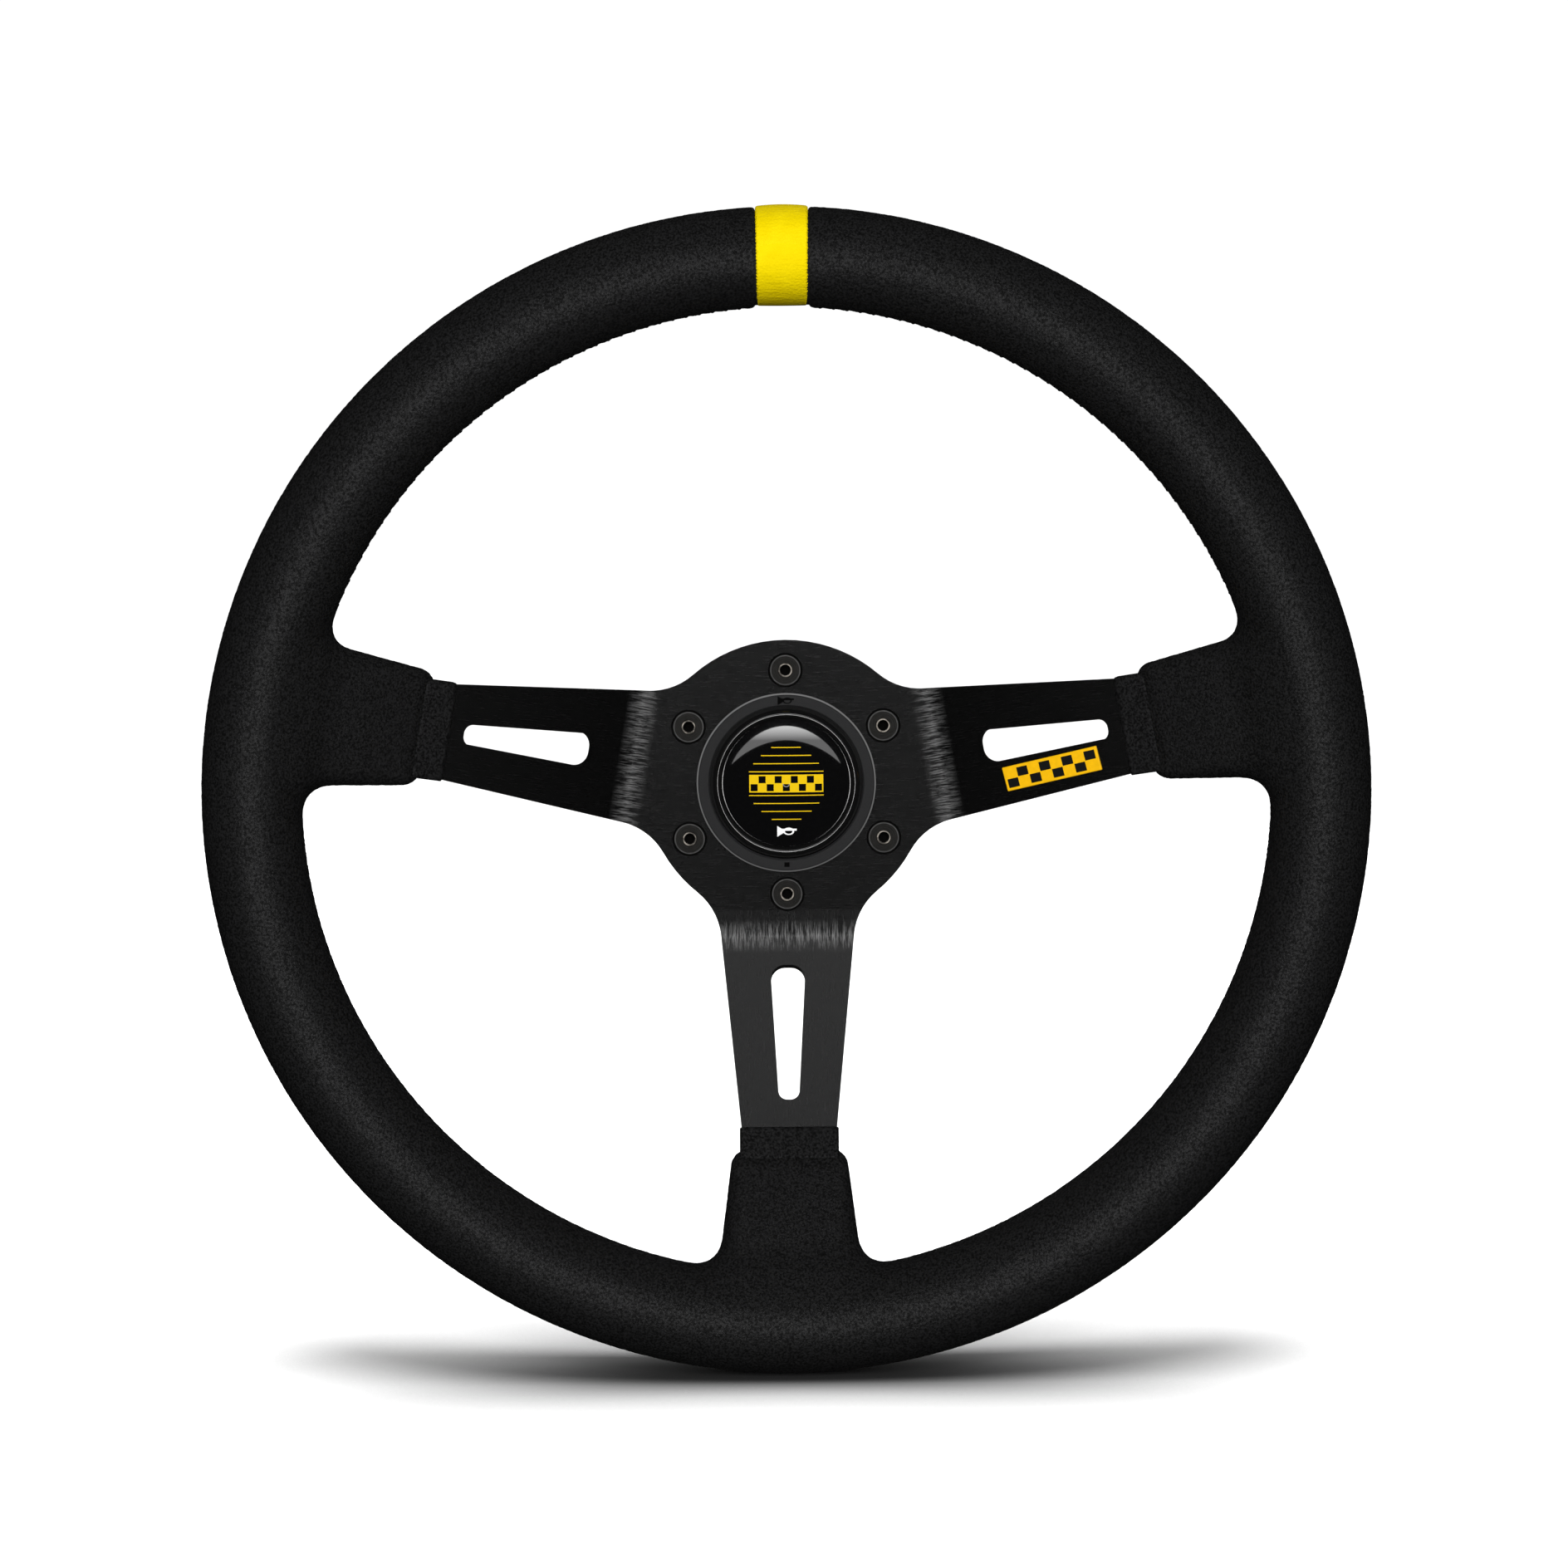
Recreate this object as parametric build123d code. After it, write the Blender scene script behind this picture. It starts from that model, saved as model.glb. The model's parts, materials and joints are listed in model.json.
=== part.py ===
from build123d import *
import math
import os

# Quick release steering wheel: a dished three-spoke wheel with the wheel half of a ball-lock quick release.
#
# The wheel is modelled in a working frame whose +Z is the steering axis towards the driver, +Y is up and Z = 0
# is the mouth of the quick release socket. place() turns each finished piece into the part's frame, where the
# steering axis is Y, the driver is at -Y and +Z is up. All sizes are in millimetres.

# Rim and grip
RIM_DIAMETER = 350.0
GRIP_WIDTH = 29.7  # across the grip, measured in the plane of the rim
GRIP_DEPTH = 32.0  # across the grip, measured along the steering axis
COVER_THICKNESS = 1.2
HOOP_RADIUS = 5.0  # the metal bar that runs round inside the grip
MARK_WIDTH = 15.6  # the coloured strip at the top of the rim
THREAD_RADIUS = 0.5
SEAM_MARGIN = 13.5  # degrees between the end of a seam and the middle of the spoke beside it

# Spoke frame: one pressed plate with a flat hub and three raised spokes
PLATE = 4.0
DISH = 48.0  # from the back face of the hub plate to the middle plane of the rim
HUB_RADIUS = 44.3
HUB_FILLET = 20.0
HUB_HOLE = 25.4
BEND_AT = 48.0  # distance of each bend from the steering axis
BEND_RADIUS = 12.0
SPOKE_ANGLES = (10.0, 170.0, 270.0)
SPOKE_HALF_AT_BEND = 20.8
SPOKE_HALF_AT_SLEEVE = 14.6
TONGUE_HALF = 11.0
SLEEVE_START = 105.0  # where the cover first lies on the spoke
ANCHOR_START = 112.0  # where the padded part of the grip starts
SLOT_HALF_INNER, SLOT_HALF_OUTER = 5.5, 3.1
SIDE_SLOT = (61.6, 100.6)
LOWER_SLOT = (57.5, 97.0)
BADGE_ALONG, BADGE_ACROSS = 81.4, -9.6  # middle of the badge, along its spoke and across it
BADGE_LENGTH, BADGE_WIDTH, BADGE_HEIGHT = 31.5, 7.6, 0.7
BADGE_CORNER = 0.8
BADGE_TILT = 4.5  # degrees from the line of its spoke

# Wheel bolts: M5 with a countersunk head
BOLT_CIRCLE = 70.0
BOLT_COUNT = 6
BOLT_RADIUS = 2.5
BOLT_HEAD_RADIUS = 5.1
BOLT_LENGTH = 16.0
BOLT_SINK = 0.2  # from the face of the plate down to the top of the head
BOLT_HOLE_PLAY = 0.25
COUNTERSINK_PLAY = 0.3
BOLT_HEX = 3.1  # across the flats
BOLT_HEX_DEPTH = 2.6
THREAD_PLAY = 0.05

# Quick release, along the steering axis from the socket mouth
SOCKET_BORE = 15.0
SOCKET_OUTER = 19.0
SOCKET_LENGTH = 40.0
SOCKET_FLANGE_RADIUS = 34.5
SOCKET_FLANGE = 5.0
PILOT_LAND = 8.5
SEAL_GROOVE = 2.6
SPLINE_START, SPLINE_END = 20.0, 36.0
SPLINE_MINOR = 13.2
SPLINE_TEETH = 24
WIRE_HOLE = 10.0
BALL_COUNT = 6
BALL_RADIUS = 3.0
BALL_PLANE = 15.0
BALL_BITE = 1.2  # how far a locked ball stands into the bore
BALL_GAP = 0.05
BALL_HOLE_PLAY = 0.15
BALL_SEAT_TAPER = 0.2  # how fast each ball's hole narrows towards the bore
COLLAR_TRAVEL = 8.0
COLLAR_REAR = 4.6
COLLAR_GUIDE_END = 22.0
COLLAR_FRONT = 26.5
COLLAR_OUTER = 26.5
COLLAR_GRIP_RADIUS = 33.0
SPRING_POCKET = 24.0
ADAPTER_LENGTH = 21.0
ADAPTER_FLANGE = 8.0
ADAPTER_RADIUS = 41.0
ADAPTER_WAIST = 32.0
ADAPTER_CAVITY = 26.5
ADAPTER_FLOOR = 5.0
SCALLOP_RADIUS = 6.0
SOCKET_BOLT_CIRCLE = 56.0
SOCKET_BOLT_HEAD = 4.6
SOCKET_BOLT_SEAT_PLAY = 0.1
COLLAR_NOTCHES = 24
COLLAR_NOTCH_RADIUS = 2.6
COLLAR_SPRING = (21.5, 1.5, 3.5)  # mean radius, wire diameter, turns

# Horn button
HORN_RING_RADIUS = 27.9
HORN_RING_INNER = 23.8
HORN_CAP_RADIUS = 22.9
HORN_DOME_RADIUS = 19.8
DOME_HEIGHT = 3.1
HORN_TRAVEL = 1.5
HOUSING_WALL = 1.8
HOUSING_RADIUS = 23.9
HOUSING_INNER = 22.6
HOUSING_LIP = 21.9
SPRING_BOSS = 7.2
CONTACT_OUTER, CONTACT_INNER, CONTACT_THICKNESS = 19.5, 12.0, 0.8
BLADE_WIDTH, BLADE_THICKNESS, BLADE_AT = 6.3, 0.8, 15.5  # each terminal, and how far it is from the axis
HORN_SPRING = (9.0, 0.9, 4.5)  # mean radius, wire diameter, turns

# Levels along the steering axis that follow from the sizes above
ADAPTER_FRONT = SOCKET_LENGTH + ADAPTER_LENGTH
HUB_BACK = ADAPTER_FRONT
HUB_FRONT = HUB_BACK + PLATE
RIM_PLANE = HUB_BACK + DISH
RIM_RADIUS = (RIM_DIAMETER - GRIP_WIDTH) / 2  # to the middle of the grip
RIM_INNER = RIM_DIAMETER / 2 - GRIP_WIDTH
SEAM_RADIUS = RIM_INNER - THREAD_RADIUS - 0.05
HOOP_CIRCLE = RIM_RADIUS - 2.0
HUB_MIDDLE = HUB_BACK + PLATE / 2
RISE = (RIM_PLANE - HUB_MIDDLE) / (HOOP_CIRCLE - BEND_AT)
SLOPE = math.degrees(math.atan(RISE))
TAPER = (SPOKE_HALF_AT_BEND - SPOKE_HALF_AT_SLEEVE) / (SLEEVE_START - BEND_AT)
BALL_CENTRE = SOCKET_BORE - BALL_BITE + BALL_RADIUS
RAMP = BALL_BITE / COLLAR_TRAVEL
HORN_CAP_TOP = HUB_FRONT + 3.6
DOME_SEAT = HUB_FRONT + 1.8
DOME_EDGE = HUB_FRONT + 2.6
BUTTON_UNDERSIDE = HUB_FRONT - 0.6
HOUSING_TOP = HUB_FRONT - 3.2
HOUSING_FLOOR = HUB_FRONT - 15.0
CONTACT_SEAT = HOUSING_FLOOR + 3.6
MOVING_CONTACT = CONTACT_SEAT + CONTACT_THICKNESS + HORN_TRAVEL + 0.05
MOVING_CONTACT_TOP = MOVING_CONTACT + CONTACT_THICKNESS


def place(shape):
    """Turns a piece from the working frame into the part's frame."""
    return Rot(90, 0, 0) * shape


def save(name, *solids):
    """Writes one node, made of one or more separate solids."""
    shape = solids[0] if len(solids) == 1 else Compound(children=list(solids))
    export_step(place(shape), f"parts/{name}.step")


def ring_profile(points):
    """A solid of revolution about the steering axis from (radius, height) points."""
    face = make_face(Polyline(*[(r, 0, z) for r, z in points], close=True))
    return revolve(face, Axis.Z, 360)


def disc(radius, low, high):
    return Pos(0, 0, (low + high) / 2) * Cylinder(radius, high - low)


def tube(outer, inner, low, high):
    return disc(outer, low, high) - disc(inner, low - 1, high + 1)


def around(count, shape, start=90.0):
    """The same shape repeated evenly about the steering axis."""
    return [Rot(0, 0, start + 360 / count * i) * shape for i in range(count)]


def turned_to(angle, shape):
    """A shape drawn along +X, turned about the steering axis to point at an angle."""
    return Rot(0, 0, angle) * shape


def only_solid(shape):
    """The largest solid of a boolean result, without slivers."""
    return max(shape.solids(), key=lambda s: s.volume)


# Spoke frame


def spoke_half(along):
    return SPOKE_HALF_AT_BEND - TAPER * (along - BEND_AT)


def spoke_outline():
    """Front view of one spoke along +X, from the steering axis to the hoop."""
    start = HUB_RADIUS * 0.4
    tongue = ANCHOR_START + 12
    upper = [
        (start, spoke_half(start)),
        (ANCHOR_START, spoke_half(ANCHOR_START)),
        (tongue, TONGUE_HALF),
        (HOOP_CIRCLE, TONGUE_HALF),
    ]
    lower = [(x, -y) for x, y in reversed(upper)]
    return make_face(Polyline(*upper, *lower, close=True))


def frame_outline():
    """Front view of the hub and its three spokes, with the corners between them rounded."""
    outline = Circle(HUB_RADIUS)
    for angle in SPOKE_ANGLES:
        outline += turned_to(angle, spoke_outline())
    corners = [
        v for v in outline.vertices() if abs(Vector(*v).length - HUB_RADIUS) < 0.01
    ]
    return fillet(corners, HUB_FILLET)


def spoke_sheet():
    """The bent plate of one spoke, wider than the spoke, with its bend rounded."""
    shift = PLATE / 2 * math.tan(math.radians(SLOPE / 2))
    back_bend, front_bend = BEND_AT + shift, BEND_AT - shift
    start = HUB_RADIUS * 0.4
    points = [
        (start, HUB_BACK),
        (back_bend, HUB_BACK),
        (HOOP_CIRCLE, HUB_BACK + RISE * (HOOP_CIRCLE - back_bend)),
        (HOOP_CIRCLE, HUB_FRONT + RISE * (HOOP_CIRCLE - front_bend)),
        (front_bend, HUB_FRONT),
        (start, HUB_FRONT),
    ]
    face = make_face(Polyline(*points, close=True))
    corners = face.vertices()
    back = [v for v in corners if abs(v.X - back_bend) < 0.01]
    front = [v for v in corners if abs(v.X - front_bend) < 0.01]
    face = fillet(back, BEND_RADIUS + PLATE / 2)
    front = [v for v in face.vertices() if abs(v.X - front_bend) < 0.01]
    face = fillet(front, BEND_RADIUS - PLATE / 2)
    half = SPOKE_HALF_AT_BEND + HUB_FILLET
    return extrude(Plane.XZ * face, half, both=True)


def slot_cutter(span):
    """A tapered slot with rounded corners, cut square to the raised plate."""
    inner, outer = ((x - BEND_AT) / math.cos(math.radians(SLOPE)) for x in span)
    corners = [
        (inner, -SLOT_HALF_INNER),
        (outer, -SLOT_HALF_OUTER),
        (outer, SLOT_HALF_OUTER),
        (inner, SLOT_HALF_INNER),
    ]
    face = make_face(Polyline(*corners, close=True))
    face = fillet([v for v in face.vertices() if v.X < inner + 1], SLOT_HALF_INNER * 0.8)
    face = fillet([v for v in face.vertices() if v.X > outer - 0.01], SLOT_HALF_OUTER * 0.9)
    slope = Plane(
        origin=(BEND_AT, 0, HUB_MIDDLE),
        x_dir=(1, 0, RISE),
        z_dir=(-RISE, 0, 1),
    )
    return extrude(slope * face, PLATE * 2, both=True)


def bolt_positions():
    return [
        Pos(Vector(BOLT_CIRCLE / 2, 0, 0).rotate(Axis.Z, 90 + 360 / BOLT_COUNT * i))
        for i in range(BOLT_COUNT)
    ]


def countersunk(head, shank, top, bottom):
    """A shank with a 90 degree head whose top is at the given height."""
    cone = Pos(0, 0, top - (head - shank) / 2) * Cone(shank, head, head - shank)
    return cone + disc(shank, bottom, top)


def hoop(radius):
    return Pos(0, 0, RIM_PLANE) * Torus(HOOP_CIRCLE, radius)


def spoke_frame():
    outline = extrude(frame_outline(), RIM_PLANE * 2)
    frame = disc(HUB_RADIUS, HUB_BACK, HUB_FRONT)
    for angle in SPOKE_ANGLES:
        frame += outline & turned_to(angle, spoke_sheet())
    for angle in SPOKE_ANGLES:
        span = LOWER_SLOT if angle == 270 else SIDE_SLOT
        frame -= turned_to(angle, slot_cutter(span))
    frame -= disc(HUB_HOLE, 0, RIM_PLANE)
    cutter = countersunk(
        BOLT_HEAD_RADIUS + COUNTERSINK_PLAY, BOLT_RADIUS + BOLT_HOLE_PLAY, HUB_FRONT + 0.01, HUB_BACK - 1
    )
    for position in bolt_positions():
        frame -= position * cutter
    return only_solid(frame - hoop(HOOP_RADIUS))


def hoop_welds():
    """A weld bead along the front and the back of each spoke end, where it meets the hoop."""
    bead = 2.2
    welds = []
    for side in (-1, 1):
        level = RIM_PLANE + side * (PLATE / 2 + bead * 0.4)
        bar = Pos(HOOP_CIRCLE - HOOP_RADIUS - 0.4, 0, level) * Rot(90, 0, 0) * Cylinder(bead, 18)
        welds += [turned_to(angle, bar) for angle in SPOKE_ANGLES]
    return welds


# Grip


def grip_ring(inset):
    """The grip's round part, an ellipse carried round the rim."""
    section = Plane.XZ * (
        Pos(RIM_RADIUS, RIM_PLANE) * Ellipse(GRIP_WIDTH / 2 - inset, GRIP_DEPTH / 2 - inset)
    )
    return revolve(section, Axis.Z, 360)


def grip_anchor(inset):
    """The padded root of one spoke: rounded sections that grow from the spoke into the rim."""
    stations = [
        (ANCHOR_START, 16.6, 5.4),
        (ANCHOR_START + 5, 18.4, 6.6),
        (ANCHOR_START + 19, 19.8, 9.4),
        (RIM_INNER + 4, 24.5, 12.4),
    ]
    sections = []
    for along, half_width, half_depth in stations:
        level = HUB_MIDDLE + RISE * (along - BEND_AT)
        width, depth = half_width - inset, half_depth - inset
        plane = Plane(origin=(along, 0, level), x_dir=(0, 1, 0), z_dir=(1, 0, 0))
        sections.append(plane * RectangleRounded(width * 2, depth * 2, depth * 0.8))
    return loft(sections, ruled=True)


def grip_body(inset):
    body = grip_ring(inset)
    for angle in SPOKE_ANGLES:
        body += turned_to(angle, grip_anchor(inset))
    return only_solid(body)


def sleeve():
    """The cover's thin tail that lies flat round the spoke, in front of the padding."""
    wall = COVER_THICKNESS * 0.6
    length = ANCHOR_START + 3 - SLEEVE_START
    half = spoke_half(SLEEVE_START) + wall
    plane = Plane(
        origin=(SLEEVE_START, 0, HUB_MIDDLE + RISE * (SLEEVE_START - BEND_AT)),
        x_dir=(0, 1, 0),
        z_dir=(1, 0, RISE),
    )
    outer = RectangleRounded(half * 2, PLATE + wall * 2, wall)
    return extrude(plane * outer, length)


def grip_foam(frame, welds):
    foam = grip_body(COVER_THICKNESS) - hoop(HOOP_RADIUS) - frame
    for weld in welds:
        foam -= weld
    return only_solid(foam)


def cover_parts(frame):
    """The cover's left half, its right half and the coloured strip between them at the top."""
    cover = grip_body(0)
    for angle in SPOKE_ANGLES:
        cover += turned_to(angle, sleeve())
    cover -= grip_body(COVER_THICKNESS)
    cover -= frame
    cover -= hoop(HOOP_RADIUS)
    size = RIM_DIAMETER * 2
    strip = Pos(0, size / 2, RIM_PLANE) * Box(MARK_WIDTH, size, size)
    right_half = Pos(size / 2, 0, RIM_PLANE) * Box(size, size, size)
    right = only_solid((cover & right_half) - strip)
    left = only_solid((cover - right_half) - strip)
    return left, right, only_solid(cover & strip)


def seam_threads():
    """The lacing that closes the cover along the inside of the rim, one run between each two spokes."""
    section = Plane.XZ * Pos(SEAM_RADIUS, RIM_PLANE) * RegularPolygon(THREAD_RADIUS, 8)
    runs = []
    ordered = sorted(SPOKE_ANGLES)
    for start, end in zip(ordered, ordered[1:] + [ordered[0] + 360]):
        run = revolve(section, Axis.Z, end - start - 2 * SEAM_MARGIN)
        runs.append(turned_to(start + SEAM_MARGIN, run))
    return runs


def spoke_badge():
    """A raised badge strip on the right spoke, between its slot and its lower edge."""
    shift = PLATE / 2 * math.tan(math.radians(SLOPE / 2))
    level = HUB_FRONT + RISE * (BADGE_ALONG - BEND_AT + shift)
    slope = Plane(
        origin=(BADGE_ALONG, BADGE_ACROSS, level),
        x_dir=(1, 0, RISE),
        z_dir=(-RISE, 0, 1),
    )
    plate = extrude(RectangleRounded(BADGE_LENGTH, BADGE_WIDTH, BADGE_CORNER), BADGE_HEIGHT)
    return turned_to(SPOKE_ANGLES[0], slope.location * Rot(0, 0, BADGE_TILT) * plate)


# Bolts


def hex_recess(flats, top, depth):
    hexagon = RegularPolygon(flats / 2, 6, major_radius=False)
    return Pos(0, 0, top - depth) * extrude(hexagon, depth + 1)


def wheel_bolts():
    """Countersunk bolts with a hexagonal recess whose mouth is chamfered."""
    top = HUB_FRONT - BOLT_SINK
    bolt = countersunk(BOLT_HEAD_RADIUS, BOLT_RADIUS, top, top - BOLT_LENGTH)
    bolt -= hex_recess(BOLT_HEX, top, BOLT_HEX_DEPTH)
    mouth = Pos(0, 0, top - 0.15) * Cone(BOLT_HEX * 0.66, BOLT_HEX * 0.76, 0.32)
    return [position * (bolt - mouth) for position in bolt_positions()]


def socket_bolt_positions():
    return [
        Pos(Vector(SOCKET_BOLT_CIRCLE / 2, 0, 0).rotate(Axis.Z, 60 * i + 30))
        for i in range(BOLT_COUNT)
    ]


def socket_bolt(clearance):
    """A countersunk bolt that enters the socket flange from behind. Clearance makes its hole."""
    back = SOCKET_LENGTH - SOCKET_FLANGE
    head, shank = SOCKET_BOLT_HEAD + clearance, BOLT_RADIUS + clearance
    cone = Pos(0, 0, back + (head - shank) / 2) * Cone(head, shank, head - shank)
    return cone + disc(shank, back, SOCKET_LENGTH + ADAPTER_FLOOR - 0.4 + clearance)


def socket_bolts():
    back = SOCKET_LENGTH - SOCKET_FLANGE
    hexagon = RegularPolygon(BOLT_HEX / 2, 6, major_radius=False)
    recess = Pos(0, 0, back) * extrude(hexagon, BOLT_HEX_DEPTH, both=True)
    return [position * (socket_bolt(0) - recess) for position in socket_bolt_positions()]


# Quick release


def ball_direction(i):
    return 360 / BALL_COUNT * i + 90


def ball_seat():
    """The radial hole of one ball along +X, narrowed by a cone so that the ball can't fall inwards."""
    hole = BALL_RADIUS + BALL_HOLE_PLAY
    mouth = SOCKET_BORE - 2.0
    cone_length = BALL_CENTRE - mouth
    narrow = hole - cone_length * BALL_SEAT_TAPER
    shaft = Pos(BALL_CENTRE + 5, 0, BALL_PLANE) * Rot(0, 90, 0) * Cylinder(hole, 10)
    cone = Pos(mouth + cone_length / 2, 0, BALL_PLANE) * Rot(0, 90, 0) * Cone(narrow, hole, cone_length)
    return shaft + cone


def spline_grooves():
    """The gaps between the socket's internal teeth."""
    root = SOCKET_BORE - 0.1
    pitch = 360 / SPLINE_TEETH
    inner_half = SPLINE_MINOR * math.sin(math.radians(pitch * 0.32))
    outer_half = root * math.sin(math.radians(pitch * 0.20))
    corners = [(SPLINE_MINOR - 0.6, inner_half), (root, outer_half)]
    corners += [(x, -y) for x, y in reversed(corners)]
    groove = Pos(0, 0, SPLINE_START) * extrude(
        make_face(Polyline(*corners, close=True)), SPLINE_END - SPLINE_START
    )
    return around(SPLINE_TEETH, groove)


def socket_body():
    flange_back = SOCKET_LENGTH - SOCKET_FLANGE
    body = ring_profile(
        [
            (SOCKET_BORE, 0),
            (SOCKET_OUTER - 0.8, 0),
            (SOCKET_OUTER, 0.8),
            (SOCKET_OUTER, flange_back),
            (SOCKET_FLANGE_RADIUS - 0.8, flange_back),
            (SOCKET_FLANGE_RADIUS, flange_back + 0.8),
            (SOCKET_FLANGE_RADIUS, SOCKET_LENGTH),
            (WIRE_HOLE, SOCKET_LENGTH),
            (WIRE_HOLE, SPLINE_END),
            (SPLINE_MINOR, SPLINE_END),
            (SPLINE_MINOR, SPLINE_START),
            (SOCKET_BORE, SPLINE_START),
            (SOCKET_BORE, PILOT_LAND + SEAL_GROOVE),
            (SOCKET_BORE + 1.6, PILOT_LAND + SEAL_GROOVE),
            (SOCKET_BORE + 1.6, PILOT_LAND),
            (SOCKET_BORE, PILOT_LAND),
        ]
    )
    body -= tube(SOCKET_OUTER + 1, SOCKET_OUTER - 1.2, *snap_ring_span(0.1))
    for groove in spline_grooves():
        body -= groove
    for i in range(BALL_COUNT):
        body -= turned_to(ball_direction(i), ball_seat())
    for position in socket_bolt_positions():
        body -= position * socket_bolt(SOCKET_BOLT_SEAT_PLAY)
    return only_solid(body)


def snap_ring_span(clearance):
    return COLLAR_REAR - 1.5 - 0.1 - clearance, COLLAR_REAR - 0.1 + clearance


def collar_stop_ring():
    """The snap ring that holds the collar on, open at its lower side."""
    low, high = snap_ring_span(0)
    ring = tube(SOCKET_OUTER + 3.2, SOCKET_OUTER - 1.1, low, high)
    gap = Pos(0, -SOCKET_OUTER, (low + high) / 2) * Box(5, 12, 4)
    return only_solid(ring - gap)


def pilot_seal():
    """The rubber ring that takes up play between the socket and the column hub."""
    radius = SEAL_GROOVE / 2 - 0.1
    middle = SOCKET_BORE + 1.6 - radius - 0.05
    return Pos(0, 0, PILOT_LAND + SEAL_GROOVE / 2) * Torus(middle, radius)


def ramp_radius(height):
    """Inside radius of the collar's ramp, clear of a locked ball by the ball gap."""
    slope = math.hypot(1, RAMP)
    at_ball = BALL_CENTRE + (BALL_RADIUS + BALL_GAP) * slope
    return at_ball + RAMP * (BALL_PLANE - height)


def release_collar():
    guide = SOCKET_OUTER + 0.1
    ramp_end = BALL_PLANE + BALL_RADIUS
    ramp_start = BALL_PLANE - COLLAR_TRAVEL - 1.4
    skirt_inner = SPRING_POCKET
    body = ring_profile(
        [
            (ramp_radius(ramp_start), COLLAR_REAR),
            (COLLAR_GRIP_RADIUS - 1.2, COLLAR_REAR),
            (COLLAR_GRIP_RADIUS, COLLAR_REAR + 1.2),
            (COLLAR_GRIP_RADIUS, COLLAR_REAR + 4.8),
            (COLLAR_GRIP_RADIUS - 1.2, COLLAR_REAR + 6.0),
            (COLLAR_OUTER + 2.0, COLLAR_REAR + 6.6),
            (COLLAR_OUTER, COLLAR_REAR + 8.6),
            (COLLAR_OUTER, COLLAR_FRONT - 0.6),
            (COLLAR_OUTER - 0.6, COLLAR_FRONT),
            (skirt_inner, COLLAR_FRONT),
            (skirt_inner, COLLAR_GUIDE_END),
            (guide, COLLAR_GUIDE_END),
            (guide, ramp_end),
            (ramp_radius(ramp_end), ramp_end),
            (ramp_radius(ramp_start), ramp_start),
        ]
    )
    notch = Pos(COLLAR_GRIP_RADIUS + 1.0, 0, COLLAR_REAR + 3) * Cylinder(COLLAR_NOTCH_RADIUS, 12)
    for cutter in around(COLLAR_NOTCHES, notch):
        body -= cutter
    return only_solid(body)


def coil(sizes, low, high):
    """A compression spring about the steering axis between two heights."""
    radius, wire, turns = sizes
    length = high - low - wire - 0.1
    path = Pos(0, 0, low + wire / 2 + 0.05) * Helix(length / turns, length, radius)
    section = Plane(origin=path @ 0, z_dir=path % 0) * Circle(wire / 2)
    return sweep(section, path, is_frenet=True)


def adapter():
    back = SOCKET_LENGTH
    waist_start = back + 6
    flange_back = ADAPTER_FRONT - ADAPTER_FLANGE
    body = ring_profile(
        [
            (WIRE_HOLE, back),
            (SOCKET_FLANGE_RADIUS, back),
            (SOCKET_FLANGE_RADIUS, waist_start - 1),
            (SOCKET_FLANGE_RADIUS - 1, waist_start),
            (ADAPTER_WAIST, waist_start + 1),
            (ADAPTER_WAIST, flange_back),
            (ADAPTER_RADIUS - 0.8, flange_back),
            (ADAPTER_RADIUS, flange_back + 0.8),
            (ADAPTER_RADIUS, ADAPTER_FRONT),
            (ADAPTER_CAVITY, ADAPTER_FRONT),
            (ADAPTER_CAVITY, back + ADAPTER_FLOOR),
            (WIRE_HOLE, back + ADAPTER_FLOOR),
        ]
    )
    for position in bolt_positions():
        body -= position * disc(BOLT_RADIUS + THREAD_PLAY, back, ADAPTER_FRONT + 1)
    for position in socket_bolt_positions():
        body -= position * disc(BOLT_RADIUS + THREAD_PLAY, back - 1, back + ADAPTER_FLOOR + 1)
    scallop = Pos(ADAPTER_RADIUS + 2, 0, ADAPTER_FRONT) * Cylinder(SCALLOP_RADIUS, 40)
    for cutter in around(BOLT_COUNT, scallop, start=120):
        body -= cutter
    return only_solid(body)


# Horn button


def horn_ring():
    """The retaining ring: a low flange on the hub and a spigot through its hole."""
    spigot = HUB_HOLE - 0.15
    return ring_profile(
        [
            (HORN_RING_INNER + 0.2, HUB_FRONT - 10),
            (spigot, HUB_FRONT - 10),
            (spigot, HUB_FRONT + 0.05),
            (HORN_RING_RADIUS, HUB_FRONT + 0.05),
            (HORN_RING_RADIUS, HUB_FRONT + 1.2),
            (HORN_RING_RADIUS - 0.7, HUB_FRONT + 1.9),
            (HORN_RING_INNER + 0.5, HUB_FRONT + 1.9),
            (HORN_RING_INNER, HUB_FRONT + 1.4),
            (HORN_RING_INNER, HUB_FRONT - 3),
            (HORN_RING_INNER + 0.2, HUB_FRONT - 3),
        ]
    )


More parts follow.
